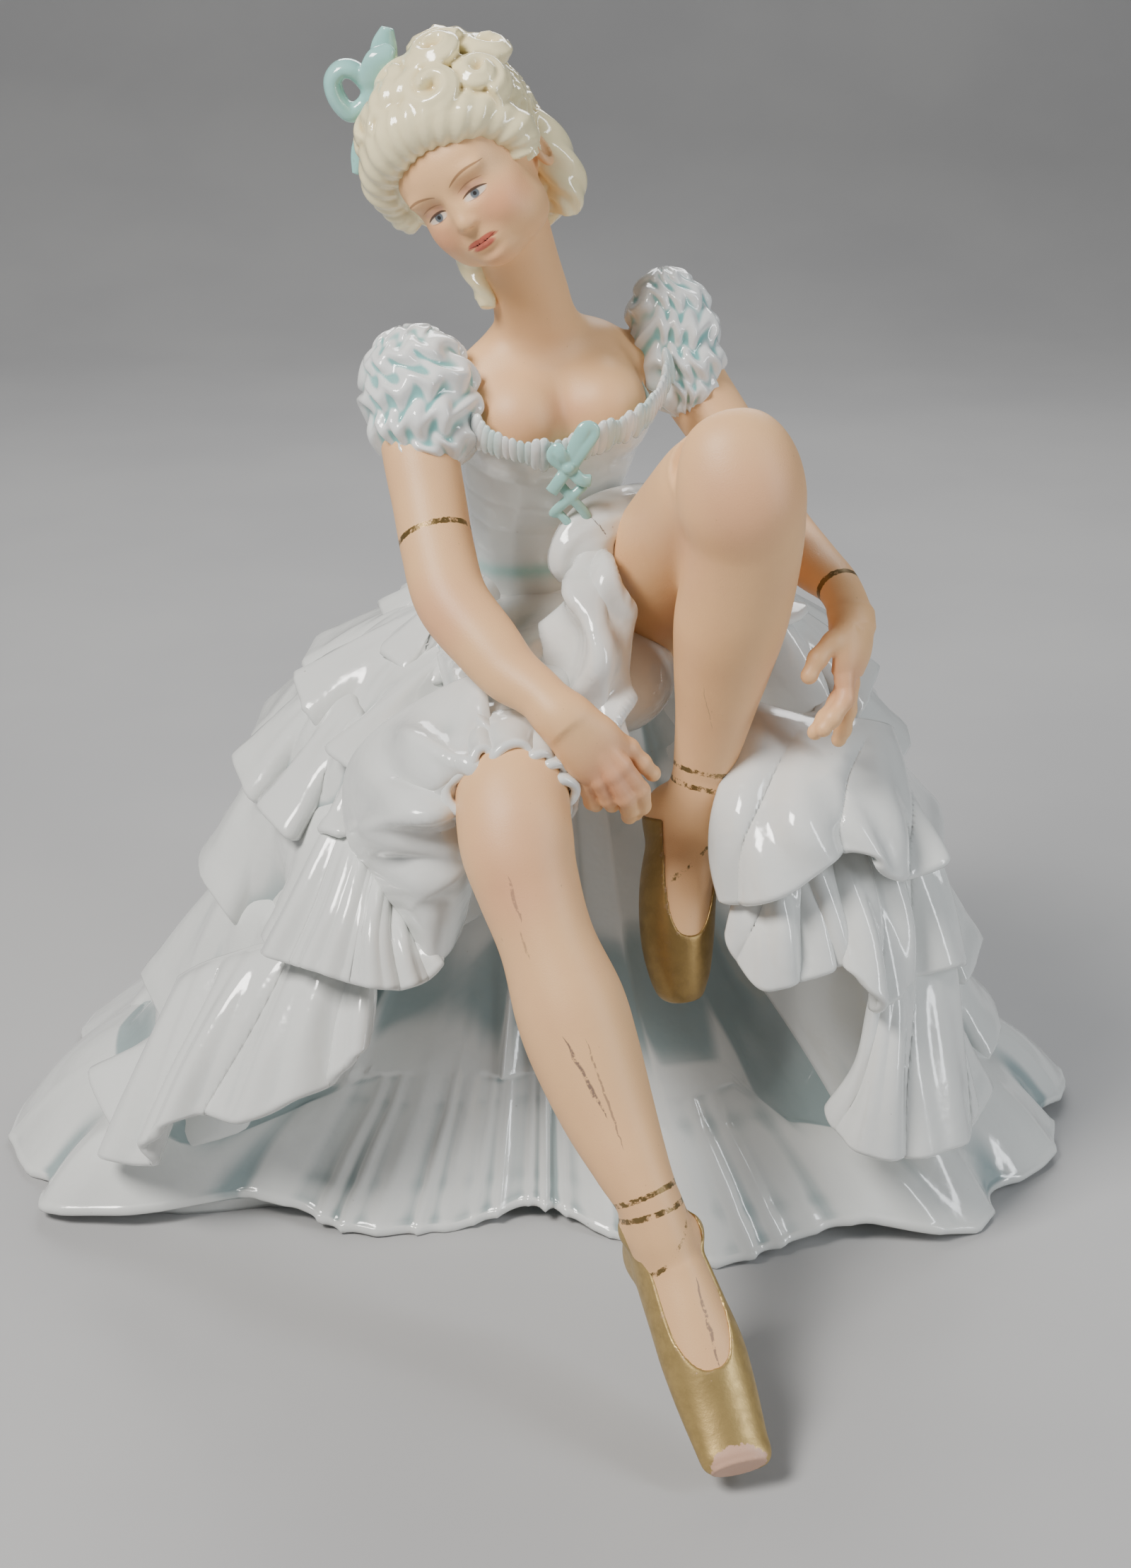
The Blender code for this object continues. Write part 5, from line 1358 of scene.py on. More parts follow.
arc_mask, given, result = group("painted arc", [
    ("Place", VECTOR, (0, 0, 0)), ("Middle", VECTOR, (0, 0, 0)), ("Bend", FLOAT, 0.1), ("Lean", FLOAT, 0.0),
    ("Half length", FLOAT, 3.0), ("Half width", FLOAT, 0.2)], "Mask")
offset = vector_node(arc_mask, "SUBTRACT", given["Place"], given["Middle"])
parts = arc_mask.nodes.new("ShaderNodeSeparateXYZ")
arc_mask.links.new(offset, parts.inputs[0])
across, rise = parts.outputs["X"], parts.outputs["Z"]
square = times(arc_mask, across, across)
curve = times(arc_mask, square, given["Bend"])
slope = times(arc_mask, across, given["Lean"])
miss = math_node(arc_mask, "ABSOLUTE", minus(arc_mask, plus(arc_mask, rise, curve), slope))
share = math_node(arc_mask, "DIVIDE", across, given["Half length"])
taper = minus(arc_mask, 1.0, times(arc_mask, share, share), clamp=True)
width = times(arc_mask, given["Half width"], math_node(arc_mask, "SQRT", taper))
inner = times(arc_mask, width, 0.5)
outer = plus(arc_mask, times(arc_mask, width, 1.3), 0.001)
mask = minus(arc_mask, 1.0, smooth_step(arc_mask, miss, inner, outer))
arc_mask.links.new(mask, result)

band_mask, given, result = group("painted band", [
    ("Place", VECTOR, (0, 0, 0)), ("Middle", VECTOR, (0, 0, 0)), ("Axis", VECTOR, (0, 0, 1)),
    ("Half width", FLOAT, 0.6), ("Reach", FLOAT, 12.0), ("Wear", FLOAT, 0.5)], "Mask")
offset = vector_node(band_mask, "SUBTRACT", given["Place"], given["Middle"])
along = vector_node(band_mask, "DOT_PRODUCT", offset, given["Axis"])
ragged = times(band_mask, minus(band_mask, noise(band_mask, given["Place"], 1.3), 0.5), 0.7)
miss = math_node(band_mask, "ABSOLUTE", plus(band_mask, along, ragged))
inner = times(band_mask, given["Half width"], 0.75)
line = minus(band_mask, 1.0, smooth_step(band_mask, miss, inner, given["Half width"]))
near = math_node(band_mask, "LESS_THAN", vector_node(band_mask, "LENGTH", offset), given["Reach"])
rubbed = smooth_step(band_mask, noise(band_mask, given["Place"], 0.42, 5.0, 0.7),
                     minus(band_mask, given["Wear"], 0.06), plus(band_mask, given["Wear"], 0.06))
band_mask.links.new(times(band_mask, times(band_mask, line, near), rubbed), result)

stroke_mask, given, result = group("painted stroke", [
    ("Place", VECTOR, (0, 0, 0)), ("Start", VECTOR, (0, 0, 0)), ("Along", VECTOR, (0, 0, 1)),
    ("Across", VECTOR, (1, 0, 0)), ("Half width", FLOAT, 0.2), ("Wobble", FLOAT, 0.6)], "Mask")
offset = vector_node(stroke_mask, "SUBTRACT", given["Place"], given["Start"])
run = vector_node(stroke_mask, "DOT_PRODUCT", offset, given["Along"])
aside = vector_node(stroke_mask, "DOT_PRODUCT", offset, given["Across"])
shake = times(stroke_mask, minus(stroke_mask, noise(stroke_mask, given["Place"], 0.25), 0.5), given["Wobble"])
miss = math_node(stroke_mask, "ABSOLUTE", plus(stroke_mask, aside, shake))
far = math_node(stroke_mask, "ABSOLUTE", minus(stroke_mask, times(stroke_mask, run, 2.0), 1.0))
taper = minus(stroke_mask, 1.0, math_node(stroke_mask, "POWER", far, 3.0), clamp=True)
width = times(stroke_mask, given["Half width"], taper)
inner, outer = times(stroke_mask, width, 0.4), plus(stroke_mask, width, 0.001)
line = minus(stroke_mask, 1.0, smooth_step(stroke_mask, miss, inner, outer))
broken = smooth_step(stroke_mask, noise(stroke_mask, given["Place"], 0.8, 4.0, 0.7), 0.36, 0.5)
stroke_mask.links.new(times(stroke_mask, line, broken), result)

# %% [markdown]
# ## The finishes
# The dress wears a clear white glaze: a smooth coat over a slightly wavy body, painted blue-grey in its hollows as
# shade, with some glaze pooling there.
# The skin is bisque, fired without glaze, so it is matte and a little grainy, and its blush is airbrushed
# on. Gold is painted last, fired low and soft, which is why it is the first thing to rub away.

# %% Start of a finish
def new_finish(name, roughness, coat=0.0, metallic=0.0):
    """Material with its surface shader and the place on the piece in mm."""
    finish = bpy.data.materials.new(name)
    finish.use_nodes = True
    tree = finish.node_tree
    surface = tree.nodes["Principled BSDF"]
    surface.inputs["Roughness"].default_value = roughness
    surface.inputs["Coat Weight"].default_value = coat
    surface.inputs["Coat Roughness"].default_value = 0.04
    surface.inputs["Metallic"].default_value = metallic
    place = vector_node(tree, "SCALE", tree.nodes.new("ShaderNodeTexCoord").outputs["Object"])
    place.node.inputs["Scale"].default_value = 1 / MM
    return finish, tree, surface, place


def read(tree, name, output="Fac"):
    """Value per point that a mesh was marked with."""
    node = tree.nodes.new("ShaderNodeAttribute")
    node.attribute_name = name
    return node.outputs[output]


def use(tree, shader_group, **values):
    """Places a node group; a value may be a number, a tuple or a socket."""
    node = tree.nodes.new("ShaderNodeGroup")
    node.node_tree = shader_group
    for name, value in values.items():
        socket = node.inputs[name.replace("_", " ")]
        if isinstance(value, bpy.types.NodeSocket):
            tree.links.new(value, socket)
        elif socket.type == "RGBA":
            socket.default_value = (*value, 1)
        else:
            socket.default_value = value
    return node.outputs[0]


def bump(tree, surface, height, distance, strength=1.0):
    """Fine relief; distance is in metres."""
    node = tree.nodes.new("ShaderNodeBump")
    node.inputs["Distance"].default_value = distance
    node.inputs["Strength"].default_value = strength
    tree.links.new(height, node.inputs["Height"])
    tree.links.new(node.outputs[0], surface.inputs["Normal"])


def draw_strokes(tree, place, base, strokes, colour):
    """Thin dark scratches, each from one point to another on the side that the camera's ray meets."""
    for start, end, half, strength in strokes:
        start, end = np.array(start), np.array(end)
        ray = unit(start - np.array(EYE))
        along = (end - start) / np.sum((end - start) ** 2)
        mask = use(tree, stroke_mask, Place=place, Start=tuple(start), Along=tuple(along),
                   Across=tuple(unit(np.cross(end - start, ray))), Half_width=half, Wobble=1.6)
        near = math_node(tree, "LESS_THAN", vector_node(tree, "DISTANCE", place, tuple((start + end) / 2)),
                         float(np.linalg.norm(end - start) / 2 + 7))
        share = times(tree, times(tree, mask, near), strength)
        base = mix_colour(tree, share, base, colour)
    return base


# %% Glazes
def glaze(name, ridge, pool_and_shade, start=0.5, full=0.9, tint=None, strokes=()):
    """Glossy glaze, light on ridges and darker in hollows: painted shade, with some glaze pooling there."""
    finish, tree, surface, place = new_finish(name, 0.16, coat=0.6)
    # The pool colour darkens hollows: painted shade, partly glaze that pools there.
    colour = use(tree, pooled_and_shaded, Hollow=read(tree, "hollow"), Ridge=ridge, Pool=pool_and_shade, Start=start, Full=full)
    cloud = smooth_step(tree, noise(tree, place, 0.03, 3.0), 0.42, 0.68)
    faint = times(tree, cloud, 0.25)
    colour = mix_colour(tree, faint, colour, tuple(0.86 * c for c in ridge))
    if tint:
        colour = mix_colour(tree, read(tree, "tint"), colour, tint)
    dots = times(tree, use(tree, specks, Place=place, Scale=0.55, Rarity=0.80), 0.5)
    colour = mix_colour(tree, dots, colour, (0.20, 0.17, 0.13))
    colour = draw_strokes(tree, place, colour, strokes, (0.10, 0.085, 0.07))
    tree.links.new(colour, surface.inputs["Base Color"])
    rough = math_node(tree, "MULTIPLY_ADD", cloud, 0.05, 0.13)
    tree.links.new(rough, surface.inputs["Roughness"])
    bump(tree, surface, noise(tree, place, 0.22, 2.0), 0.0006, 0.35)
    return finish


# The second colour of each glaze is painted shade in its hollows, partly glaze that pools there.
WHITE_GLAZE = glaze("white_glaze", (0.76, 0.775, 0.755), (0.33, 0.41, 0.415), 0.50, 0.92)
CRACKED_GLAZE = glaze("cracked_glaze", (0.76, 0.775, 0.755), (0.33, 0.41, 0.415), 0.50, 0.92, strokes=[
    ((9.3, -38, 181.4), (12.6, -38.5, 178.0), 0.16, 0.8), ((12.6, -38.5, 178.0), (14.3, -38, 174.6), 0.2, 0.85)])
FRILL_GLAZE = glaze("frill_glaze", (0.82, 0.84, 0.83), (0.22, 0.52, 0.50), 0.5, 0.85, tint=(0.30, 0.60, 0.57))
TURQUOISE_GLAZE = glaze("turquoise_glaze", (0.32, 0.62, 0.58), (0.10, 0.36, 0.34), 0.5, 0.85)
HAIR_GLAZE = glaze("hair_glaze", (0.90, 0.80, 0.49), (0.50, 0.30, 0.07), 0.48, 0.80)


# %% Bisque skin
def skin(name, bands=(), strokes=(), blush=()):
    """Matte bisque with blush, gold bands, scratches and painted shade in its hollows."""
    finish, tree, surface, place = new_finish(name, 0.46)
    # Bisque has no glaze to pool, so the darker colour in hollows is painted shade.
    base = use(tree, pooled_and_shaded, Hollow=read(tree, "hollow"), Ridge=(0.84, 0.50, 0.245), Pool=(0.58, 0.26, 0.105),
               Start=0.5, Full=0.95)
    mottled = smooth_step(tree, noise(tree, place, 0.05, 4.0, 0.6), 0.40, 0.66)
    base = mix_colour(tree, times(tree, mottled, 0.30), base, (0.76, 0.42, 0.22))
    for middle, radius, strength in blush:
        spot = use(tree, oval_mask, Place=place, Middle=middle, Radii=(radius,) * 3, Softness=0.75)
        base = mix_colour(tree, times(tree, spot, strength), base, (0.66, 0.27, 0.17))
    pits = use(tree, specks, Place=place, Scale=1.1, Rarity=0.77)
    base = mix_colour(tree, times(tree, pits, 0.35), base, (0.30, 0.17, 0.11))
    gold = 0.0
    for middle, axis, half, reach, wear in bands:
        mask = use(tree, band_mask, Place=place, Middle=middle, Axis=tuple(unit(axis)), Half_width=half,
                   Reach=reach, Wear=wear)
        base = mix_colour(tree, mask, base, (0.20, 0.13, 0.045))
        gold = mask if gold == 0.0 else math_node(tree, "MAXIMUM", gold, mask)
    base = draw_strokes(tree, place, base, strokes, (0.13, 0.09, 0.085))
    if name == "face_skin":
        base = paint_face(tree, base)
    tree.links.new(base, surface.inputs["Base Color"])
    grain = noise(tree, place, 3.2, 3.0, 0.6)
    rough = math_node(tree, "MULTIPLY_ADD", grain, 0.16, 0.38)
    if gold != 0.0:
        tree.links.new(times(tree, gold, 0.6), surface.inputs["Metallic"])
        rough = minus(tree, rough, times(tree, gold, 0.12))
    tree.links.new(rough, surface.inputs["Roughness"])
    bump(tree, surface, grain, 0.00012, 0.5)
    return finish


# %% Painted face
def paint_face(tree, base):
    """Soft brows, lashes, irises, cheeks and lips; both sides share one half, by distance from the middle."""
    face = read(tree, "face_place", "Vector")
    parts = tree.nodes.new("ShaderNodeSeparateXYZ")
    tree.links.new(face, parts.inputs[0])
    mirrored = tree.nodes.new("ShaderNodeCombineXYZ")
    tree.links.new(math_node(tree, "ABSOLUTE", parts.outputs["X"]), mirrored.inputs["X"])
    tree.links.new(parts.outputs["Z"], mirrored.inputs["Z"])
    half = mirrored.outputs[0]
    front = smooth_step(tree, parts.outputs["Y"], 5.0, 8.0)

    def spot(middle, radii, softness, colour, strength):
        nonlocal base
        mask = use(tree, oval_mask, Place=half, Middle=(middle[0], 0, middle[1]), Radii=(radii[0], 1, radii[1]),
                   Softness=softness)
        mask = times(tree, times(tree, mask, front), strength)
        base = mix_colour(tree, mask, base, colour)

    def arc(middle, bend, lean, length, width, colour, strength):
        nonlocal base
        mask = use(tree, arc_mask, Place=half, Middle=(middle[0], 0, middle[1]), Bend=bend, Lean=lean,
                   Half_length=length, Half_width=width)
        mask = times(tree, times(tree, mask, front), strength)
        base = mix_colour(tree, mask, base, colour)

    spot((8.2, -4.6), (4.8, 3.8), 0.8, (0.74, 0.24, 0.13), 0.45)
    spot((0.0, CHIN_UP + 2.0), (3.0, 2.2), 0.8, (0.72, 0.28, 0.16), 0.22)
    spot((EYE_SIDE, EYE_UP + 1.3), (3.6, 1.6), 0.6, (0.56, 0.27, 0.15), 0.35)
    spot((EYE_SIDE, EYE_UP - 0.75), (2.7, 0.95), 0.22, (0.72, 0.62, 0.52), 0.9)
    spot((EYE_SIDE - 0.2, EYE_UP - 0.75), (1.08, 1.05), 0.14, (0.085, 0.115, 0.14), 0.95)
    spot((EYE_SIDE - 0.2, EYE_UP - 0.75), (0.45, 0.45), 0.2, (0.015, 0.012, 0.012), 0.95)
    spot((EYE_SIDE, EYE_UP + 0.75), (2.9, 0.75), 0.15, (0.74, 0.40, 0.24), 0.92)
    arc((EYE_SIDE, EYE_UP + 0.18), 0.07, -0.05, 3.05, 0.34, (0.07, 0.035, 0.02), 0.95)
    arc((EYE_SIDE + 0.1, EYE_UP - 1.75), -0.055, 0.0, 2.4, 0.12, (0.34, 0.15, 0.09), 0.6)
    arc((EYE_SIDE, EYE_UP + 1.95), 0.06, 0.02, 3.2, 0.17, (0.42, 0.19, 0.10), 0.7)
    arc((EYE_SIDE + 0.9, BROW_UP + 0.5), 0.05, 0.08, 4.3, 0.34, (0.24, 0.11, 0.045), 0.75)
    spot((1.35, MOUTH_UP + 0.52), (2.4, 0.62), 0.25, (0.52, 0.085, 0.06), 0.9)
    spot((0.0, MOUTH_UP - 0.75), (3.0, 0.80), 0.25, (0.58, 0.11, 0.08), 0.9)
    spot((3.2, MOUTH_UP + 0.10), (1.2, 0.30), 0.4, (0.50, 0.09, 0.06), 0.7)
    arc((0.0, MOUTH_UP - 0.05), -0.03, 0.0, 4.1, 0.13, (0.20, 0.03, 0.02), 0.85)
    spot((1.0, NOSE_UP + 0.1), (0.42, 0.26), 0.3, (0.44, 0.18, 0.11), 0.35)
    return base


# %% Gold and the skin of each piece
def gold_paint(name, colour, rubbed, worn_at=None):
    """Satin gold over bisque, chipped on the ridges and bare round worn_at."""
    finish, tree, surface, place = new_finish(name, 0.4, metallic=0.6)
    brushed = noise(tree, place, 0.35, 5.0, 0.65)
    base = mix_colour(tree, smooth_step(tree, brushed, 0.35, 0.7), colour, tuple(0.80 * c for c in colour))
    ridge = minus(tree, 1.0, smooth_step(tree, read(tree, "hollow"), 0.30, 0.50))
    chips = smooth_step(tree, noise(tree, place, 0.7, 5.0, 0.75), 0.56, 0.62)
    worn = times(tree, ridge, chips)
    scuffed = use(tree, specks, Place=place, Scale=0.9, Rarity=rubbed)
    worn = math_node(tree, "MAXIMUM", worn, scuffed)
    if worn_at:
        middle, radii = worn_at
        spot = use(tree, oval_mask, Place=place, Middle=middle, Radii=radii, Softness=0.18)
        rough_edge = times(tree, minus(tree, noise(tree, place, 0.6, 4.0, 0.6), 0.5), 2.2)
        spot = smooth_step(tree, plus(tree, spot, rough_edge), 0.4, 0.6)
        worn = math_node(tree, "MAXIMUM", worn, times(tree, spot, use(
            tree, oval_mask, Place=place, Middle=middle, Radii=tuple(1.3 * r for r in radii), Softness=0.1)))
    base = mix_colour(tree, worn, base, (0.62, 0.38, 0.27))
    tree.links.new(base, surface.inputs["Base Color"])
    tree.links.new(times(tree, minus(tree, 1.0, worn), 0.62), surface.inputs["Metallic"])
    rough = math_node(tree, "MULTIPLY_ADD", brushed, 0.22, 0.30)
    tree.links.new(rough, surface.inputs["Roughness"])
    bump(tree, surface, brushed, 0.00015, 0.6)
    return finish


NEAR_GOLD = gold_paint("near_slipper_gold", (0.50, 0.35, 0.135), 0.76, ((41, -153, 8), (6.5, 4.0, 5.0)))
# Same gold as the near slipper; this darker copy is painted shade on the raised slipper.
RAISED_GOLD_SHADED = gold_paint("raised_slipper_gold_shaded", (0.32, 0.205, 0.07), 0.82)
FACE_SKIN = skin("face_skin",
    blush=(((-6.8, -30, 196), 7, 0.2), ((13, -23, 198), 7, 0.2), ((4, -24, 200), 5, 0.3)))
NEAR_ARM_SKIN = skin("near_arm_skin", bands=[((-24.0, -42.5, 178.0), (5.3, -14, -15), 0.75, 14, 0.44)],
                     blush=(((-24, -58, 163), 8, 0.35), ((17, -78, 134), 8, 0.4), ((13, -78, 130), 6, 0.3)))
FAR_ARM_SKIN = skin("far_arm_skin", bands=[((66.5, -43.0, 166.0), (4.6, -10, -4.5), 0.8, 12, 0.40)],
                    blush=(((61, -24, 165), 9, 0.3), ((67, -58, 148), 6, 0.35)))
NEAR_LEG_SKIN = skin("near_leg_skin",
    bands=[((24.0, -119.5, 54.8), (3.1, -3.0, -6.6), 0.7, 11, 0.47),
           ((24.4, -119.5, 50.2), (2.6, -2.6, -6.8), 0.7, 11, 0.45),
           ((25.8, -123.0, 44.0), (7.0, 2.0, -6.0), 0.45, 11, 0.52)],
    strokes=[((-7.6, -104, 119.8), (-4.8, -106, 109.8), 0.55, 0.5),
             ((3.5, -110, 87.0), (12.7, -114, 69.8), 0.6, 0.85),
             ((8.4, -112, 87.2), (16.6, -120, 64.5), 0.34, 0.6),
             ((-4.8, -108, 108.5), (-3.0, -109, 102.3), 0.4, 0.45),
             ((31.6, -138, 44.2), (36.5, -148, 27.4), 0.5, 0.7)],
    blush=(((-6, -98, 124), 12, 0.30), ((-7, -96, 112), 7, 0.2)))
RAISED_LEG_SKIN = skin("raised_leg_skin",
    bands=[((36.2, -46.5, 123.0), (-2.0, -1.2, -9.6), 0.7, 12, 0.46),
           ((35.6, -46.5, 118.8), (-2.2, -1.6, -9.4), 0.7, 12, 0.49),
           ((33.0, -52.0, 104.5), (4.5, 3.0, -7.0), 0.45, 10, 0.53)],
    strokes=[((38.7, -74, 131.9), (42.7, -66, 118.0), 0.16, 0.4),
             ((35.4, -70, 146.7), (38.3, -66, 133.4), 0.14, 0.35)],
    blush=(((42, -82, 196), 12, 0.32), ((33, -62, 180), 8, 0.18)))

# %% [markdown]
# ## Gathered edges
# Cloth drawn up on a thread stands in small flutes, side by side, none quite like the next. On the real
# piece they are pressed one by one with a small tool. Geometry Nodes do that here: they walk along an edge,
# set a flute at every step, turn it to the edge and make each a little larger or smaller.

# %% Geometry Nodes for a gathered edge
def gather_tree():
    """Flutes along an edge; returns the tree and the identifier of each of its named inputs."""
    tree = bpy.data.node_groups.new("gathered edge", "GeometryNodeTree")
    inputs = {}
    for name, kind in (("Edge", "Geometry"), ("Spacing", "Float"), ("Height", "Float"), ("Width", "Float"),
                       ("Depth", "Float"), ("Unevenness", "Float"), ("Seed", "Int"), ("Finish", "Material")):
        socket = tree.interface.new_socket(name, in_out="INPUT", socket_type="NodeSocket" + kind)
        inputs[name] = socket.identifier
    tree.interface.new_socket("Frill", in_out="OUTPUT", socket_type="NodeSocketGeometry")

    def add(kind, links=(), **settings):
        node = tree.nodes.new(kind)
        for key, value in settings.items():
            setattr(node, key, value)
        for socket, source in links:
            tree.links.new(source, node.inputs[socket])
        return node

    given = add("NodeGroupInput").outputs
    curve = add("GeometryNodeMeshToCurve", [("Mesh", given["Edge"])])
    steps = add("GeometryNodeResampleCurve", [("Curve", curve.outputs["Curve"]), ("Length", given["Spacing"])],
                mode="LENGTH")
    outward = add("GeometryNodeInputNamedAttribute", data_type="FLOAT_VECTOR")
    outward.inputs["Name"].default_value = "stand"
    upright = add("FunctionNodeAlignRotationToVector", [("Vector", outward.outputs["Attribute"])], axis="Z")
    turned = add("FunctionNodeAlignRotationToVector", [
        ("Rotation", upright.outputs[0]), ("Vector", add("GeometryNodeInputTangent").outputs[0])],
        axis="X", pivot_axis="Z")
    low = add("ShaderNodeMath", [(1, given["Unevenness"])], operation="SUBTRACT")
    low.inputs[0].default_value = 1.0
    high = add("ShaderNodeMath", [(1, given["Unevenness"])], operation="ADD")
    high.inputs[0].default_value = 1.0
    chance = add("FunctionNodeRandomValue", [("Seed", given["Seed"])], data_type="FLOAT")
    tree.links.new(low.outputs[0], chance.inputs[2])
    tree.links.new(high.outputs[0], chance.inputs[3])
    size = add("ShaderNodeCombineXYZ", [("X", given["Width"]), ("Y", given["Depth"]), ("Z", given["Height"])])
    varied = add("ShaderNodeVectorMath", [(0, size.outputs[0])], operation="SCALE")
    tree.links.new(chance.outputs[1], varied.inputs["Scale"])
    flute = add("GeometryNodeMeshUVSphere")
    flute.inputs["Segments"].default_value = 14
    flute.inputs["Rings"].default_value = 8
    flute.inputs["Radius"].default_value = 1.0
    placed = add("GeometryNodeInstanceOnPoints", [
        ("Points", steps.outputs["Curve"]), ("Instance", flute.outputs["Mesh"]),
        ("Rotation", turned.outputs[0]), ("Scale", varied.outputs[0])])
    real = add("GeometryNodeRealizeInstances", [("Geometry", placed.outputs["Instances"])])
    smooth = add("GeometryNodeSetShadeSmooth", [("Geometry", real.outputs["Geometry"])])
    painted = add("GeometryNodeSetMaterial", [
        ("Geometry", smooth.outputs["Geometry"]), ("Material", given["Finish"])])
    add("NodeGroupOutput", [("Frill", painted.outputs["Geometry"])])
    return tree, inputs


GATHER, GATHER_INPUTS = gather_tree()
EDGE_POINTS = 120  # points along the edge that the flutes stand on


def gathered(name, path, stand, finish, spacing, height, width, depth, unevenness, seed):
    """Frill along a path in mm; stand is the direction in which each flute is long; the sizes are of one flute."""
    line = smooth_rows(path, EDGE_POINTS)
    lean = smooth_rows(stand, EDGE_POINTS)
    mesh = bpy.data.meshes.new(name + "_edge")
    mesh.from_pydata([tuple(p * MM) for p in line], [(i, i + 1) for i in range(EDGE_POINTS - 1)], [])
    layer = mesh.attributes.new("stand", "FLOAT_VECTOR", "POINT")
    layer.data.foreach_set("vector", np.asarray(lean, np.float32).ravel())
    holder = bpy.data.objects.new(name, mesh)
    bpy.context.scene.collection.objects.link(holder)
    pressed = holder.modifiers.new("gathers", "NODES")
    pressed.node_group = GATHER
    for key, value in (("Spacing", spacing * MM), ("Height", height * MM), ("Width", width * MM),
                       ("Depth", depth * MM), ("Unevenness", unevenness), ("Seed", seed), ("Finish", finish)):
        pressed[GATHER_INPUTS[key]] = value
    graph = bpy.context.evaluated_depsgraph_get()
    frill = bpy.data.meshes.new_from_object(holder.evaluated_get(graph))
    holder.modifiers.clear()
    bpy.data.objects.remove(holder)
    bpy.data.meshes.remove(mesh)
    frill.name = name
    print(f"{name}: {len(frill.vertices)} points, {len(frill.polygons)} facets")
    return frill


# %% Neckline frill
NECK_EDGE = [(-22, -22, 208), (-19.5, -26, 202), (-16, -30, 198.3), (-12, -33, 196.4), (-7.5, -34.5, 195.2),
             (-2, -34.5, 194.0), (3.4, -32.5, 193.7), (8, -32.5, 195.3), (12.7, -31.5, 197.2), (18, -28.5, 198.6),
             (23, -23.5, 200.6), (27, -16, 204.5), (28.5, -11, 209)]
NECK_STAND = [(0.6, -0.6, 0.55), (0.35, -0.65, 0.75), (0.2, -0.6, 0.9), (0.05, -0.5, 1), (-0.1, -0.45, 1),
              (0, -0.45, 1), (0, -0.45, 1), (0.1, -0.45, 1), (0.1, -0.5, 1), (0.1, -0.5, 1), (0.05, -0.5, 0.9),
              (0.0, -0.4, 0.8), (-0.2, -0.3, 0.8)]
neck_frill_mesh = gathered("neckline_frill", NECK_EDGE, NECK_STAND, FRILL_GLAZE,
                           spacing=1.75, height=4.4, width=1.7, depth=1.15, unevenness=0.30, seed=4)
mark(neck_frill_mesh, "hollow", np.full(len(neck_frill_mesh.vertices), 0.5))
mark(neck_frill_mesh, "tint", 0.25 + 0.25 * np.sin(places(neck_frill_mesh)[:, 0] * 0.9))


# %% Bow and crossed lacing on the bodice
def lacing_clay():
    """Small bow at the neckline and the ribbon crossed below it."""
    clay = clay_block((-6, -46, 174), (18, -24, 206), 0.3)

    def ribbon(path, wide, thick=0.75):
        add_form(clay, tube([(*p, thick, wide) for p in path], (0, -1, 0.2), rings=60, around=24), 0.35)

    for path, wide in (
            ([(5.2, -36.4, 191.6), (3.6, -37.8, 194.6), (2.6, -37.6, 196.2), (1.6, -37.0, 194.2),
              (4.6, -36.4, 191.4)], 1.5),
            ([(5.6, -36.4, 191.8), (8.0, -37.0, 195.6), (10.6, -36.2, 199.6), (8.8, -36.6, 200.6),
              (6.6, -37.0, 196.6), (5.6, -36.4, 192.2)], 1.7),
            ([(5.0, -36.2, 191.4), (3.0, -37.0, 188.6), (1.2, -36.4, 185.8)], 1.5),
            ([(5.4, -36.2, 191.4), (7.8, -36.8, 188.9), (10.2, -36.0, 188.4)], 1.5),
            ([(3.0, -35.4, 187.6), (5.6, -35.8, 184.6), (8.4, -34.8, 181.2), (9.6, -34.0, 179.0)], 1.15),
            ([(8.8, -35.2, 187.2), (5.6, -35.8, 184.4), (2.4, -34.8, 181.2), (1.6, -34.0, 179.6)], 1.15),
            ([(3.0, -34.4, 180.4), (5.6, -34.6, 177.6), (8.0, -33.4, 175.4)], 1.0)):
        ribbon(path, wide)
    add_oval(clay, (5.2, -37.2, 191.6), (1.6, 1.3, 1.5), blend=0.4)
    return clay


lacing_mesh = fire(lacing_clay(), "bodice_bow_and_lacing", 1)
mark_hollows(lacing_mesh, 3)
bodice_at = places(bodice_mesh)
under_edge = smooth_lookup(bodice_at[:, 0], NECKLINE) - bodice_at[:, 2]
WAIST_UP, LACING_SIDE, LACING_LOW = 159, 5.5, 172
near_neck = np.clip(1 - under_edge / 4.5, 0, 1) * 0.55
near_waist = np.exp(-((bodice_at[:, 2] - WAIST_UP - 0.10 * bodice_at[:, 0]) / 2.2) ** 2) * 0.75
round_lacing = np.exp(-((bodice_at[:, 0] - LACING_SIDE) / 5.0) ** 2) * (bodice_at[:, 2] > LACING_LOW) * 0.22
mark(bodice_mesh, "tint", np.clip(0.07 + near_neck + near_waist + round_lacing, 0, 0.8))

# %% Dress every piece
for mesh, finish in ((face_mesh, FACE_SKIN), (near_arm_mesh, NEAR_ARM_SKIN), (far_arm_mesh, FAR_ARM_SKIN),
                     (near_leg_mesh, NEAR_LEG_SKIN), (far_leg_mesh, RAISED_LEG_SKIN)):
    finish_piece(mesh, finish)
finish_piece(near_shoe_mesh, NEAR_GOLD)
finish_piece(far_shoe_mesh, RAISED_GOLD_SHADED)
finish_piece(lap_mesh, CRACKED_GLAZE)
for mesh in (*flounce_meshes, petticoat_mesh, *drape_meshes[1:]):
    finish_piece(mesh, WHITE_GLAZE)
for mesh in (bodice_mesh, near_sleeve_mesh, far_sleeve_mesh):
    finish_piece(mesh, FRILL_GLAZE)
finish_piece(hair_mesh, HAIR_GLAZE)
finish_piece(bow_mesh, TURQUOISE_GLAZE)
finish_piece(lacing_mesh, TURQUOISE_GLAZE)
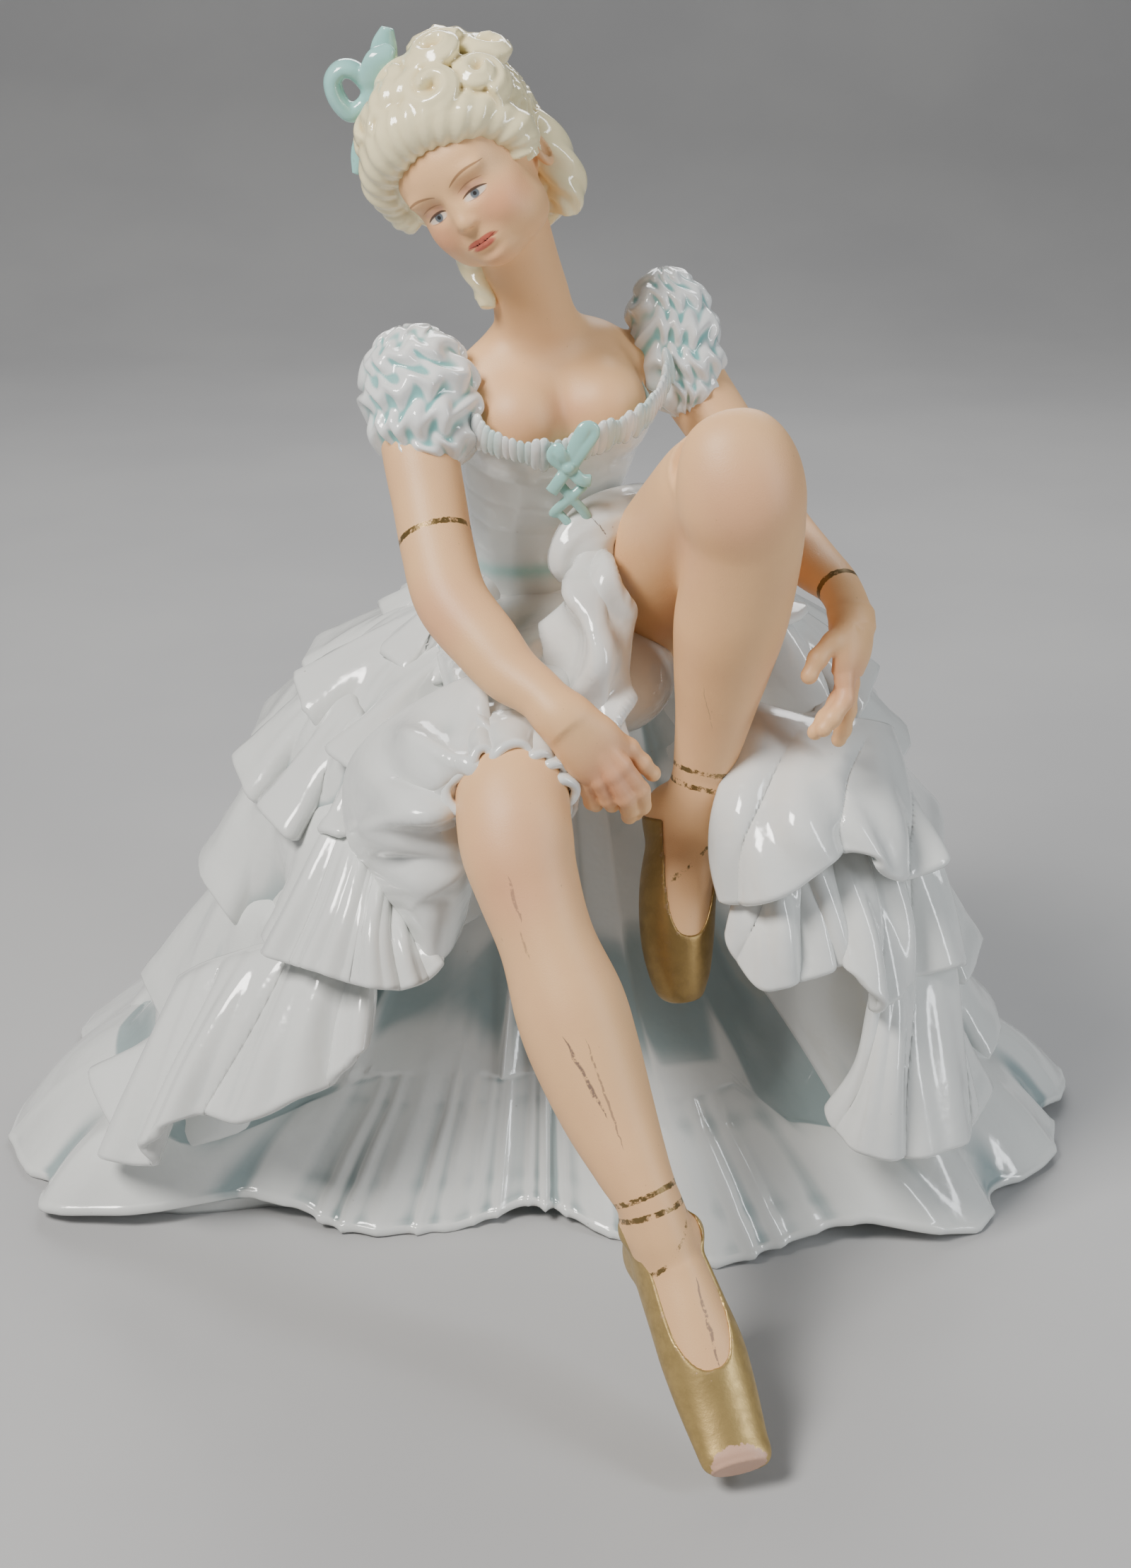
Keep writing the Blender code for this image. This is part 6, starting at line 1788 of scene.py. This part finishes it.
finish_piece(neck_frill_mesh, None)
print("triangles in all:", sum(len(p.data.loop_triangles) for p in pieces_made))

# %% [markdown]
# ## Floor, light and camera
# The stage is a pale floor that runs back into a pale wall, lit by large soft lamps: a broad one above
# her right for the forms, a long one on her left for the bright streaks in the glaze, and one behind her.

# %% Stage
def stage_finish():
    """Pale grey with faint clouds."""
    finish, tree, surface, place = new_finish("stage", 0.55)
    cloud = smooth_step(tree, noise(tree, place, 0.006, 4.0), 0.3, 0.7)
    tone = mix_colour(tree, cloud, (0.42, 0.42, 0.425), (0.46, 0.46, 0.46))
    tree.links.new(tone, surface.inputs["Base Color"])
    return finish


profile = [(-1.6, 0.0), (0.9, 0.0)]
profile += [(0.9 + 0.5 * math.sin(a), 0.5 - 0.5 * math.cos(a)) for a in np.linspace(0.1, math.pi / 2, 14)]
profile += [(1.4, 2.4)]
verts = [(x, y, z) for y, z in profile for x in (-2.4, 2.4)]
faces = [(2 * i, 2 * i + 1, 2 * i + 3, 2 * i + 2) for i in range(len(profile) - 1)]
floor_mesh = bpy.data.meshes.new("pale_floor")
floor_mesh.from_pydata(verts, [], faces)
floor_mesh.polygons.foreach_set("use_smooth", [True] * len(faces))
floor = bpy.data.objects.new("pale_floor", floor_mesh)
bpy.context.scene.collection.objects.link(floor)
floor_mesh.materials.append(stage_finish())


def lamp(name, place, target, size, power, colour=(1, 1, 1)):
    """Soft rectangular lamp that looks at a target."""
    light = bpy.data.lights.new(name, "AREA")
    light.shape = "RECTANGLE"
    light.size, light.size_y = size
    light.energy = power
    light.color = colour
    holder = bpy.data.objects.new(name, light)
    bpy.context.scene.collection.objects.link(holder)
    holder.location = place
    holder.rotation_euler = (Vector(target) - Vector(place)).to_track_quat("-Z", "Y").to_euler()


lamp("key_above_right", (-0.55, -0.55, 0.95), (0, 0, 0.12), (0.36, 0.36), 17.0, (1.0, 0.97, 0.93))
lamp("long_left", (0.85, -0.45, 0.45), (0, 0, 0.12), (0.12, 0.9), 5.0, (0.93, 0.97, 1.0))
lamp("behind", (0.1, 0.75, 0.7), (0, 0, 0.15), (0.8, 0.3), 4.5)
world = bpy.data.worlds.new("studio")
world.use_nodes = True
world.node_tree.nodes["Background"].inputs["Color"].default_value = (0.80, 0.84, 0.90, 1)
world.node_tree.nodes["Background"].inputs["Strength"].default_value = 0.14
bpy.context.scene.world = world

# %% Camera at the photograph's angle
camera = bpy.data.objects.new("camera", bpy.data.cameras.new("camera"))
bpy.context.scene.collection.objects.link(camera)
camera.location = [v / 1000 for v in EYE]
camera.rotation_euler = (math.radians(68), 0, 0)
camera.data.sensor_width = 36
camera.data.lens = FOCAL / PHOTO_HEIGHT * camera.data.sensor_width
camera.data.shift_x = 28 / PHOTO_HEIGHT
camera.data.shift_y = -34.5 / PHOTO_HEIGHT
bpy.context.scene.camera = camera
